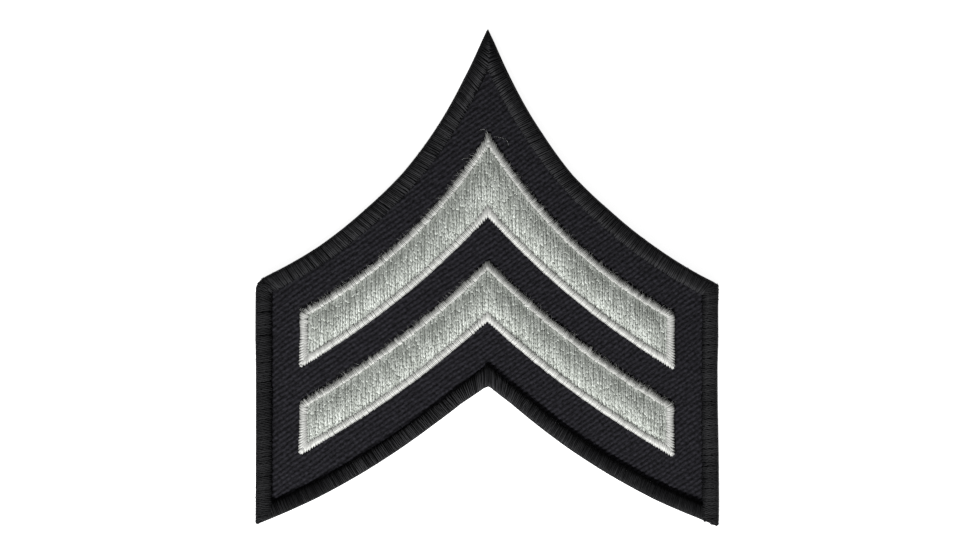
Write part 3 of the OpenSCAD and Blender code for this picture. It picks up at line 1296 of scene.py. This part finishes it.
    def row(self, band: StitchBand, side: Side, share: Array, rng: np.random.Generator) -> BorderRow:
        """Sets out the threads of one side.

        Args:
            band: The border's band of stitches.
            side: The side that the threads lie on.
            share: Where stitches start, as shares of the side's length.
            rng: Source of the threads' differences.

        Returns:
            The side's threads, two fine ones for each stitch where the side isn't upright.
        """
        stitch = self.stitches[side.kind.value]
        away = self.whole.away(side, share)
        kept = away > (self.peak_gap if side.upper else 0.0)
        share, away = share[kept], away[kept]
        if not side.upright:
            beside = self.pitch / 4 / self.whole.length(side)
            share = np.stack([share - beside, share + beside], -1).ravel()
            away = np.repeat(away, 2)
        n = len(share)
        lean = self.lean + self.unevenness * rng.standard_normal(n)
        if side.upper:
            lean -= self.uppers[side.right].lean * bell(away, self.lean_reach)
        outer, inwards = band.feet(side, share, lean)
        stray = self.strays(side, outer)
        outer = outer + self.whole.inward(side, outer) * stray[:, None]
        # Each thread's own random tone, scaled for its kind of side as painted shade
        tone = rng.uniform(*self.tone_range, n) * stitch.painted_lightness
        proud = self.proud + self.proud_spread * rng.standard_normal(n)
        passing = stitch.passing + self.passing_spread * rng.random(n)
        row = BorderRow(side, away, outer, inwards, stray, tone, proud, passing, np.zeros(n), np.ones(n))
        if side.upper:
            self.gather(row, rng)
        elif side.kind is SideKind.BASE:
            half = self.bases[side.right]
            tone += half.contrast * (tone - tone.mean())
            # Painted sheen: lighter beside the notch, darker towards the tips
            out = np.clip((np.abs(outer[:, 0]) - self.notch_half_w) / self.base_fade, 0, 1)
            tone *= half.notch_painted_sheen + (half.tip_painted_shading - half.notch_painted_sheen) * out
            row.scale *= half.thin
        return row

    def gather(self, row: BorderRow, rng: np.random.Generator) -> None:
        """Turns and thins the threads of an upper side towards the peak, and darkens them there with painted
        shade.

        Args:
            row: The side's threads, which are changed.
            rng: Source of their differences.
        """
        half, away = self.uppers[row.side.right], row.away
        near = bell(away, self.peak_reach)
        level = unit(np.array([-row.side.mirror, -half.dip]))
        inwards = unit(row.inwards * (1 - near)[:, None] + level * near[:, None])
        askew = self.askew * (near * rng.standard_normal(len(near)))
        row.inwards = unit(inwards + askew[:, None] * inwards[:, ::-1])
        row.near = near
        row.proud -= half.rim * near + self.tip_rim * np.exp(-away / self.tip_rim_reach)
        row.passing *= np.clip((away - self.passing_from) / self.passing_reach, 0, 1)
        thin = 1 - self.peak_thin * near * rng.random(len(near))
        row.scale = np.clip(self.tip_scale + away / self.tip_scale_reach, 0, 1) * thin
        # Painted shade on the threads beside the peak
        row.tone *= 1 - half.fade * bell(away, self.painted_peak_shade_reach)

    def tones(self, row: BorderRow, rings: int, rng: np.random.Generator) -> Array:
        """Shades the threads of a side from their inner ends over the crown to the back, with painted light
        and shade.

        Args:
            row: The side's threads.
            rings: Rings along each thread.
            rng: Source of the mottling.

        Returns:
            One tone for each ring of each thread.
        """
        tone = row.tone[:, None] * np.ones(rings)
        if row.side.upper:
            half = self.uppers[row.side.right]
            near, away = row.near[:, None], row.away[:, None]
            tone += half.contrast * (tone - tone.mean())
            tone *= 1 + np.maximum(half.mottle, self.peak_mottle * near) * rng.uniform(-1, 1, tone.shape)
            # Painted light and shade: a highlight on the inner flank and at the fork, shade on the outer
            # flank, a glint at the inner corner, and shade on the shoulder and rim
            tone[:, Rings.INNER_FLANK] *= 1 + np.array(half.shine) * (1 - self.painted_peak_dimming * near)
            tone[:, Rings.INNER_FLANK] += half.fork_shine * bell(away - self.fork_at, self.fork_reach)
            tone[:, Rings.OUTER_FLANK] *= half.shade
            glint = self.glint * bell(away - self.glint_at, self.glint_reach)
            tone[:, Rings.INNER_END] = tone[:, Rings.INNER_END] * (1 - glint) + glint
            tone[:, Rings.SHOULDER] *= 1 - self.painted_peak_dimming * row.near
            tone[:, Rings.OUTSIDE] *= self.painted_rim_shade * (1 - near)
        elif row.side.kind is SideKind.BASE:
            half = self.bases[row.side.right]
            tone *= 1 + half.mottle * rng.uniform(-1, 1, tone.shape)
            # Painted highlight on the base's outer flank and shade at its outline ring
            tone[:, Rings.OUTLINE] *= self.painted_base_rim_shading
        return tone

    def build(self) -> bpy.types.Object:
        """Makes the border and returns it."""
        rng = np.random.default_rng(self.seed)
        draft = MeshDraft()
        band = StitchBand(self.whole, self.plan.border_w, self.fan)
        for side, share in band.stations(self.pitch, rng, self.jitter):
            row = self.row(band, side, share, rng)
            stitch = self.stitches[side.kind.value]
            n = len(row.away)
            reach = (self.plan.border_w + stitch.wider + self.follow * row.stray
                     + self.unevenness * rng.standard_normal(n))
            span = band.spans(side, row.outer, row.inwards, reach, row.passing, self.held)
            outer = row.outer - row.inwards * row.proud[:, None]
            drop = self.dive + self.dive_spread * rng.random(n)
            paths = self.section(outer, row.inwards, span + row.proud, side, drop, row.near)
            tone = self.tones(row, paths.shape[1], rng)
            stitch.thread.lay(draft, paths, leftwards(-row.inwards), rng, tone, row.scale)
        self.core(draft)
        return draft.build("edge_border_threads", self.lift)

    def core(self, draft: MeshDraft) -> None:
        """Adds the padded roll that the threads lie on.

        Args:
            draft: The border's mesh.
        """
        band = StitchBand(self.whole, self.plan.border_w, (1.0,) * len(Corner))
        swing = np.linspace(0, math.pi, self.core_points)
        shares = np.maximum(self.core_middle + self.core_half_w * np.cos(swing), self.core_least)
        rise = self.plan.border_h - self.plan.seat - self.core_sink
        loop = [(s, self.plan.seat + rise * math.sin(a) ** (2 / self.core_squareness))
                for s, a in zip(shares, swing)]
        loop += self.core_foot
        rings = []
        for side in Side:
            share = np.linspace(0, 1, round(self.whole.length(side) / self.core_step))[:-1]
            outer = self.whole.rim(side, share)
            inner = self.whole.on_side(side, self.plan.border_w, band.inner_share(side, share))
            square, stray = self.whole.inward(side, outer), self.strays(side, outer)[:, None]
            if side.upper:
                outer = self.pointed(side, outer, inner)
            outer = outer + square * (stray - self.core_proud)
            inner = inner + square * self.follow * stray
            wider = self.stitches[side.kind.value].wider
            rings.append(sections(outer, (inner - outer) * (1 + wider / self.plan.border_w), loop))
        draft.add_roll(rings, True, 0.0)

    def pointed(self, side: Side, outer: Array, inner: Array) -> Array:
        """Draws the core's outline in beside the peak, and the peak itself to a sharp point.

        Args:
            side: The upper side that the outline is on.
            outer: Its places.
            inner: The places across from them on the border's inner edge.

        Returns:
            The new places.
        """
        away = np.abs(outer[:, 0])
        near = bell(away, self.rim_reach) * np.clip(away, self.rim_least, 1)
        outer = outer - unit(inner - outer) * (self.rim_shift * near)[:, None]
        outer[:, 1] += self.point * bell(away, self.point_reach)
        slim = np.exp(-away / self.taper_reach) * np.clip(away / self.point_reach, self.taper_least, 1)
        outer[:, 0] -= side.mirror * self.uppers[side.right].taper * slim
        return outer


@dataclass(frozen=True)
class SatinStitch:
    """How the satin stitches lie on one kind of side, in millimetres.

    They start proud of the bar's outline, reach in by width and lie lower than the full height.
    Crest moves the highest place, inwards where it is above 1, and tones is how light they are: a
    random spread from stitch to stitch, set for each kind of side as painted light and shade, darkest
    on the level stitches of the uprights.
    """

    thread: Thread
    proud: float
    proud_spread: float
    width: float
    crest: float
    lower: float
    height_spread: float
    tones: tuple[float, float]


SLOPED_SATIN = Thread(ply_r=0.14, flat=0.95, spread=0.11, stack=0.02, twist=30.0, roll=0.6,
                      start_taper=(0.5, 0.6, 0.75, 0.9))
LEVEL_SATIN = Thread(ply_r=0.24, flat=0.36, spread=0.13, stack=0.02, twist=30.0, roll=0.1, swell=0.02,
                     start_taper=(0.6, 0.75, 0.9))

# Bends of the three long filaments that have come loose at the top of the upper bar
LOOSE_ENDS = (((1.0, 24.1), (2.2, 24.0), (3.3, 23.9), (3.35, 22.6)),
              ((0.0, 24.5), (-0.3, 25.3), (-0.9, 25.5), (-1.5, 25.1)),
              ((-4.4, 20.3), (-3.8, 20.6), (-3.0, 20.6), (-2.5, 20.3)))


@dataclass(frozen=True)
class SatinOutline:
    """The rounded satin stitch that frames a chevron bar."""

    plan: PatchPlan
    bar: Arrowhead
    lift: Array
    finish: ThreadFinish = ThreadFinish(
        "silver satin thread", (0.28, 0.283, 0.27), (0.61, 0.615, 0.59), 0.55, 0.3, silk=0.2,
        filament_share=0.4)
    # Each kind's tones mix a random spread with painted light and shade for that kind of side
    stitches: tuple[SatinStitch, ...] = (
        SatinStitch(SLOPED_SATIN, proud=0.2, proud_spread=0.13, width=1.13, crest=1.9, lower=0.09,
                    height_spread=0.03, tones=(0.45, 1.05)),
        SatinStitch(LEVEL_SATIN, proud=0.08, proud_spread=0.04, width=1.46, crest=1.0, lower=0.04,
                    height_spread=0.01, tones=(0.4, 0.58)),
        SatinStitch(SLOPED_SATIN, proud=0.05, proud_spread=0.04, width=1.5, crest=0.86, lower=0.0,
                    height_spread=0.03, tones=(0.65, 1.15)))
    fan: tuple[float, ...] = (0.7, 0.8, 0.6, 1.0, 0.6, 0.8)
    pitch: float = 0.478
    jitter: float = 0.06
    lean_spread: float = 0.08
    width_spread: float = 0.05
    rings: int = 12
    inner_rings: int = 5
    # Painted shade on the inner rings of the upper sides, (left, right), and at the bar's tip
    painted_inner_shade: tuple[float, float] = (0.95, 0.65)
    tip_painted_shading: float = 0.5
    tip_crest: float = 0.5
    tip_width: float = 0.1
    tip_stray: float = 0.35
    tip_stray_power: int = 6
    tip_reach: float = 1.8
    wisp: Thread = Thread(plies=1, ply_r=0.016, spread=0.0, stack=0.0, around=3, end_taper=0.4)
    wisps_per_mm: float = 18.0
    wisp_rings: int = 4
    wisp_ends: tuple[float, float] = (0.004, 0.996)
    wisp_splay: float = 0.45

    # Shortest wisp, the mean of what is added to its length, and the most that is added
    wisp_length: tuple[float, float, float] = (0.35, 0.29, 1.0)
    wisp_curl: float = 0.22
    wisp_root: float = 0.3
    wisp_height: float = 1.52
    wisp_fall: float = 0.3
    wisp_fall_power: float = 1.5
    wisp_height_spread: float = 0.05
    wisp_tone: float = 0.35
    tip_shorter: float = 0.6
    tip_shorter_reach: float = 1.5
    curl_rings: int = 14
    curl_height: float = 1.45
    curl_wave: float = 0.12
    curl_swing: float = 5.0
    curl_tone: float = 0.6
    passing: float = 0.15
    foot_lift: float = 0.12
    foot_power: int = 9
    padding_points: int = 7
    padding_in: float = 0.04
    padding_tone: float = 0.6
    padding_sink: float = 0.13
    padding_step: float = 0.8
    padding_half_w: float = 0.42
    curl: Thread = Thread(plies=1, ply_r=0.0125, spread=0.0, stack=0.0, around=3)
    curls: tuple[tuple[tuple[float, float], ...], ...] = ()
    seed: int = 37

    def build(self, name: str) -> bpy.types.Object:
        """Makes the outline's stitches, loose wisps and padding, and returns the piece.

        Args:
            name: Name of the new piece.

        Returns:
            The finished piece.
        """
        rng = np.random.default_rng(self.seed)
        draft = MeshDraft()
        band = StitchBand(self.bar, self.plan.satin_w, self.fan)
        for side, share in band.stations(self.pitch, rng, self.jitter):
            n = len(share)
            stitch = self.stitches[side.kind.value]
            outer, inwards = band.feet(side, share, self.lean_spread * rng.standard_normal(n))
            width = stitch.width + self.width_spread * rng.standard_normal(n)
            stray = stitch.proud + stitch.proud_spread * np.abs(rng.standard_normal(n))
            crest = np.full(n, stitch.crest)
            lift = stitch.height_spread * rng.standard_normal(n) - stitch.lower
            tone = rng.uniform(*stitch.tones, n)
            if side.upper:
                near = bell(self.bar.away(side, share), self.tip_reach)
                crest += self.tip_crest * near
                width += self.tip_width * near
                stray += self.tip_stray * near ** self.tip_stray_power
                # Painted shade at the bar's tip
                tone *= 1 - self.tip_painted_shading * near
                lift += stitch.lower * near
            span = band.spans(side, outer, inwards, width, self.passing * (1 + rng.random(n)))
            paths = self.arches(outer, inwards, span, stray, crest, lift)
            tone = tone[:, None] * np.ones(self.rings)
            if side.upper:
                # Painted shade on the inner band of the upper sides
                tone[:, -self.inner_rings:] *= self.painted_inner_shade[side.right]
            stitch.thread.lay(draft, paths, leftwards(inwards), rng, tone)
            if side.upper:
                self.fringe(draft, band, side, rng)
        self.strays(draft, rng)
        self.padding(draft)
        return draft.build(name, self.lift)

    def strays(self, draft: MeshDraft, rng: np.random.Generator) -> None:
        """Adds the long loose filaments that curl away from the outline.

        Args:
            draft: The outline's mesh.
            rng: Source of their differences.
        """
        t = np.linspace(0, 1, self.curl_rings)[:, None]
        for a, b, c, d in self.curls:
            bend = [np.array(p) for p in (a, b, c, d)]
            plan = ((1 - t) ** 3 * bend[0] + 3 * t * (1 - t) ** 2 * bend[1] + 3 * t * t * (1 - t) * bend[2]
                    + t ** 3 * bend[3])
            height = self.curl_height + self.curl_wave * np.sin(self.curl_swing * t[:, 0])
            path = np.column_stack([plan, height])[None]
            way = unit(np.gradient(plan, axis=0))
            self.curl.lay(draft, path, leftwards(way).swapaxes(0, 1), rng, np.full(1, self.curl_tone))

    def fringe(self, draft: MeshDraft, band: StitchBand, side: Side, rng: np.random.Generator) -> None:
        """Adds fine filaments that stand out of an upper edge.

        Args:
            draft: The mesh that takes them.
            band: The outline's band of stitches.
            side: The upper side that they stand on.
            rng: Source of their differences.
        """
        n = round(self.bar.length(side) * self.wisps_per_mm)
        outer, inwards = band.feet(side, np.sort(rng.uniform(*self.wisp_ends, n)))
        along = np.stack([-inwards[:, 1], inwards[:, 0]], -1)
        way = unit(-inwards + along * (self.wisp_splay * rng.standard_normal(n))[:, None])
        least, more, most_more = self.wisp_length
        length = least + np.minimum(rng.exponential(more, n), most_more)
        length *= 1 - self.tip_shorter * bell(outer[:, 0], self.tip_shorter_reach)
        t = np.linspace(0, 1, self.wisp_rings)
        curl = self.wisp_curl * rng.standard_normal(n) * length
        root = outer + inwards * self.wisp_root
        places = (root[:, None] + way[:, None] * (length[:, None] * t)[..., None]
                  + along[:, None] * (curl[:, None] * t * t)[..., None])
        height = (self.wisp_height - self.wisp_fall * t ** self.wisp_fall_power
                  + self.wisp_height_spread * rng.standard_normal((n, 1)))
        paths = np.dstack([places, height])
        self.wisp.lay(draft, paths, leftwards(way), rng, np.full(n, self.wisp_tone))

    def arches(self, outer: Array, inwards: Array, span: Array, stray: Array, crest: Array,
               lift: Array) -> Array:
        """Lays arched paths across the band, from outside to inside.

        Args:
            outer: Where the stitches cross the bar's outline.
            inwards: Their level directions.
            span: How far in each one reaches.
            stray: How far out of the outline each one starts.
            crest: Powers that move the highest place, inwards where they are above 1.
            lift: How much higher each one's crest lies than the rest.

        Returns:
            Stitches by points by three.
        """
        plan = self.plan
        swing = np.linspace(0, math.pi, self.rings)
        share = (1 - np.cos(swing)) / 2
        reach = -stray[:, None] + (span + stray)[:, None] * share
        places = outer[:, None] + inwards[:, None] * reach[..., None]
        x = 2 * share[None] ** crest[:, None] - 1
        rise = plan.satin_h - plan.clearance - plan.satin_foot + lift[:, None]
        height = plan.seat + plan.satin_foot + rise * np.sqrt(1 - x * x)
        foot = plan.ground_t + self.foot_lift
        height = height - (height - foot) * np.abs(np.cos(swing)) ** self.foot_power
        return np.dstack([places, height])

    def padding(self, draft: MeshDraft) -> None:
        """Adds the closed padding that the stitches lie on.

        Args:
            draft: The outline's mesh.
        """
        band = StitchBand(self.bar, self.plan.satin_w, (1.0,) * len(Corner))
        rings = []
        for side in Side:
            stitch = self.stitches[side.kind.value]
            rise = self.plan.satin_h - self.plan.clearance - self.padding_sink - stitch.lower
            pad = min(1.0, (stitch.width - self.padding_in) / self.plan.satin_w)
            share = np.linspace(0, 1, round(self.bar.length(side) / self.padding_step))[:-1]
            outer = self.bar.rim(side, share)
            inner = self.bar.on_side(side, self.plan.satin_w, band.inner_share(side, share))
            loop = [(0.5 - self.padding_half_w * math.cos(a), self.plan.seat + rise * math.sin(a))
                    for a in np.linspace(0, math.pi, self.padding_points)]
            rings.append(sections(outer, (inner - outer) * pad, loop))
        draft.add_roll(rings, False, self.padding_tone)


@dataclass(frozen=True)
class ChevronFill:
    """The bar's crowned fill of short upright stitches, row beside row."""

    plan: PatchPlan
    bar: Arrowhead
    lift: Array
    finish: ThreadFinish = ThreadFinish(
        "silver fill thread", (0.31, 0.33, 0.30), (0.54, 0.565, 0.53), 0.55, 0.5, silk=0.4,
        filament_share=0.4)
    thread: Thread = Thread(ply_r=0.13, flat=0.75, spread=0.09, stack=0.035, twist=1.5, around=5)
    row_pitch: float = 0.3
    stitch: float = 2.0
    rings: int = 10
    starts: float = 0.95
    ends: float = 0.9
    unevenness: float = 0.3
    shortest: float = 0.5
    sway: float = 0.1
    overlap: float = 0.12
    height_spread: float = 0.025
    dip: float = 0.06
    dip_reach: float = 0.5
    underlay_sink: float = 0.22
    underlay_points: tuple[int, int] = (80, 9)
    first_row: float = 0.1
    arch: float = 0.02
    end_dip: float = 0.08
    end_power: int = 8
    tone_range: tuple[float, float] = (0.1, 0.9)
    patchiness: float = 0.2

    # Waves of the soft patches, to the side and up: how long, how far they bend and over what length
    patch_waves: tuple[tuple[float, float, float], ...] = ((1.7, 0.9, 1.3), (1.1, 1.3, 2.3))
    # Painted light and shade: how much lighter the stitches are towards the bar's base and darker towards its
    # top
    shading: float = 0.0
    seed: int = 53

    def surface(self, x: Array, y: Array) -> Array:
        """Returns the height of the fill's surface at plan places.

        Args:
            x: Distances to the right of the axis.
            y: Heights in the plan.

        Returns:
            One height for each place.
        """
        plan = self.plan
        inset = plan.satin_w + plan.clearance
        x_end = self.bar.half_w - inset
        top, base = self.bar.top.moved(inset), self.bar.base.moved(-inset)
        ax = np.minimum(np.abs(x), x_end)
        y_top, y_base = top.height_at(ax), base.height_at(ax)
        s = np.clip(2 * (y - y_base) / (y_top - y_base) - 1, -1, 1)
        fall = 1 - np.clip((x_end - ax) / plan.fill_fall, 0, 1)
        crown = (plan.fill_crown_h - plan.fill_edge_h) * (1 - fall ** 2)
        return plan.ground_t + plan.fill_edge_h + crown * (1 - s * s)

    def build(self, name: str) -> bpy.types.Object:
        """Makes the fill's stitches and the layer under them, and returns the piece.

        Args:
            name: Name of the new piece.

        Returns:
            The finished piece.
        """
        rng = np.random.default_rng(self.seed)
        x_end = self.bar.half_w - self.plan.satin_w
        top, base = self.bar.top.moved(self.starts), self.bar.base.moved(-self.ends)
        starts, ends, levels = [], [], []
        for x in np.arange(-x_end + self.first_row, x_end, self.row_pitch):
            y_top, y_base = top.height_at(abs(x)), base.height_at(abs(x))
            offset = rng.random() * self.stitch
            cuts = np.arange(y_base - offset, y_top, self.stitch)
            cuts = cuts + self.unevenness * rng.standard_normal(len(cuts))
            cuts = cuts[(cuts > y_base + self.shortest) & (cuts < y_top - self.shortest)]
            cuts = np.concatenate([[y_base], cuts, [y_top]])
            sway = x + self.sway * rng.standard_normal(len(cuts))
            starts.append(np.stack([sway[:-1], cuts[:-1] - self.overlap], -1))
            ends.append(np.stack([sway[1:], cuts[1:] + self.overlap], -1))
            levels.append(1 - 2 * (cuts[:-1] - y_base) / (y_top - y_base))
        start, end = np.concatenate(starts), np.concatenate(ends)
        t = np.linspace(0, 1, self.rings)
        places = start[:, None] + (end - start)[:, None] * t[None, :, None]
        arch = self.arch * np.sin(math.pi * t) - self.end_dip * np.abs(2 * t - 1) ** self.end_power
        height = (self.surface(places[..., 0], places[..., 1]) + arch
                  + self.height_spread * rng.standard_normal((len(start), 1)))
        from_top = self.bar.top.distance(np.abs(places[..., 0]), places[..., 1]) - self.starts
        height -= self.dip * bell(from_top, self.dip_reach)
        paths = np.dstack([places, height])
        draft = MeshDraft()
        # The patches vary the tone; the levels add painted light towards the base and painted shade towards
        # the top
        shade = self.patchiness * self.patches(*start.T) + self.shading * np.concatenate(levels)
        tone = np.clip(rng.uniform(*self.tone_range, len(start)) + shade, 0, 1)
        self.thread.lay(draft, paths, leftwards(unit(end - start)), rng, tone)
        self.underlay(draft)
        return draft.build(name, self.lift)

    def patches(self, x: Array, y: Array) -> Array:
        """Shades soft patches a few millimetres across, where stitches are a little lighter or darker.

        Args:
            x: Distances to the right of the axis.
            y: Heights in the plan.

        Returns:
            One value for each place, from -1 to 1.
        """
        (wide, bend_x, over_y), (high, bend_y, over_x) = self.patch_waves
        return np.sin(x / wide + bend_x * np.sin(y / over_y)) * np.sin(y / high + bend_y * np.sin(x / over_x))

    def underlay(self, draft: MeshDraft) -> None:
        """Adds the closed layer under the stitches.

        Args:
            draft: The fill's mesh.
        """
        inset = self.plan.satin_w
        x_end = self.bar.half_w - inset
        top, base = self.bar.top.moved(self.starts), self.bar.base.moved(-inset)
        across, up = self.underlay_points
        xs, s = np.linspace(-x_end, x_end, across), np.linspace(0, 1, up)
        y_top, y_base = top.height_at(np.abs(xs))[:, None], base.height_at(np.abs(xs))[:, None]
        y = y_base + (y_top - y_base) * s
        x = np.broadcast_to(xs[:, None], y.shape)
        height = self.surface(x, y) - self.underlay_sink
        face = np.dstack([x, y, height])
        back = np.dstack([x, y, np.full_like(height, self.plan.seat)])[:, ::-1]
        loop = np.concatenate([face, back], axis=1)
        count, around = loop.shape[:2]
        draft.add(loop, tube_faces(1, count, around), None, np.zeros(count * around))


@dataclass(frozen=True)
class Studio:
    """Floor, light and camera, set out as for the photograph. Lengths are in metres."""

    view_w: float = 0.16149
    look_at: tuple[float, float] = (0.000232, 0.000396)
    seen_level: float = 0.0011
    picture_turn: float = 0.0055
    lens: float = 120.0
    sensor: float = 36.0
    key_power: float = 5.6
    key_turn: float = math.radians(-105)
    key_rise: float = math.radians(42)
    key_away: float = 0.6
    key_size: tuple[float, float] = (0.3, 0.06)
    sky: float = 0.22
    floor_half: float = 2.0
    floor_drop: float = 0.02 * MM
    floor_grey: float = 0.9
    floor_roughness: float = 0.9
    floor_glow: float = 0.84

    def build(self) -> None:
        """Makes the floor, the lights and the camera."""
        self.floor()
        self.light()
        self.camera()
        bpy.context.scene.view_settings.view_transform = "Standard"

    def floor(self) -> None:
        """Makes the pale floor."""
        half = self.floor_half
        mesh = bpy.data.meshes.new("floor")
        mesh.from_pydata([(-half, -half, 0), (half, -half, 0), (half, half, 0), (-half, half, 0)],
                         [], [(0, 1, 2, 3)])
        floor = bpy.data.objects.new("floor", mesh)
        floor.location.z = -self.floor_drop
        bpy.context.scene.collection.objects.link(floor)
        material = bpy.data.materials.new("white paper")
        material.use_nodes = True
        shader = material.node_tree.nodes["Principled BSDF"]
        shader.inputs["Base Color"].default_value = (self.floor_grey,) * 3 + (1,)
        shader.inputs["Roughness"].default_value = self.floor_roughness
        shader.inputs["Emission Color"].default_value = (1, 1, 1, 1)
        shader.inputs["Emission Strength"].default_value = self.floor_glow
        mesh.materials.append(material)

    def light(self) -> None:
        """Makes the long low key light and the soft light from all round."""
        lamp = bpy.data.lights.new("key", "AREA")
        lamp.shape = "RECTANGLE"
        lamp.size, lamp.size_y = self.key_size
        lamp.energy = self.key_power
        key = bpy.data.objects.new("key", lamp)
        level = self.key_away * math.cos(self.key_rise)
        key.location = (level * math.cos(self.key_turn), level * math.sin(self.key_turn),
                        self.key_away * math.sin(self.key_rise))
        key.rotation_euler = (math.pi / 2 - self.key_rise, 0, self.key_turn + math.pi / 2)
        bpy.context.scene.collection.objects.link(key)
        world = bpy.data.worlds.new("room")
        world.use_nodes = True
        background = world.node_tree.nodes["Background"]
        background.inputs["Color"].default_value = (1, 1, 1, 1)
        background.inputs["Strength"].default_value = self.sky
        bpy.context.scene.world = world

    def camera(self) -> None:
        """Makes the camera, straight above the patch."""
        data = bpy.data.cameras.new("camera")
        data.lens = self.lens
        data.sensor_width = self.sensor
        camera = bpy.data.objects.new("camera", data)
        away = self.lens / self.sensor * self.view_w
        camera.location = (*self.look_at, self.seen_level + away)
        camera.rotation_euler = (0, 0, self.picture_turn)
        bpy.context.scene.collection.objects.link(camera)
        bpy.context.scene.camera = camera


def main() -> None:
    """Builds the patch's pieces in order, and the studio round them."""
    logging.basicConfig(level=logging.INFO, format="%(message)s")
    plan = PatchPlan()
    whole, upper, lower = plan.shapes()
    rim = np.concatenate([whole.rim(side, np.linspace(0, 1, FINE)) for side in Side])
    lift = np.array([0.0, -(rim[:, 1].max() + rim[:, 1].min()) / 2, 0.0])
    log.info("middle of the length: %.3f", -lift[1])

    border = OverlockBorder(plan, whole, lift)
    sewn = [border.build()]
    dress(sewn[0], "edge_border", border.finish.material())
    fill_finish, satin_finish = ChevronFill.finish.material(), SatinOutline.finish.material()
    bars = (
        ("upper", ChevronFill(plan, upper, lift, shading=0.18, seed=61),
         SatinOutline(plan, upper, lift, curls=LOOSE_ENDS, seed=62)),
        ("lower", ChevronFill(plan, lower, lift, seed=83),
         SatinOutline(plan, lower, lift, tip_crest=0.3, tip_width=-0.12, tip_stray=0.1, seed=84)))
    for name, fill, satin in bars:
        sewn.append(fill.build(f"{name}_chevron_fill_stitches"))
        dress(sewn[-1], f"{name}_chevron_fill", fill_finish)
        sewn.append(satin.build(f"{name}_chevron_satin_stitches"))
        dress(sewn[-1], f"{name}_chevron_outline", satin_finish)

    ground = TwillGround(plan, whole, (upper, lower), lift)
    cloth = ground.build()
    dress(cloth, "twill_ground", ground.finish.material())
    ground.declare(cloth)
    Studio().build()


if __name__ == "__main__":
    main()
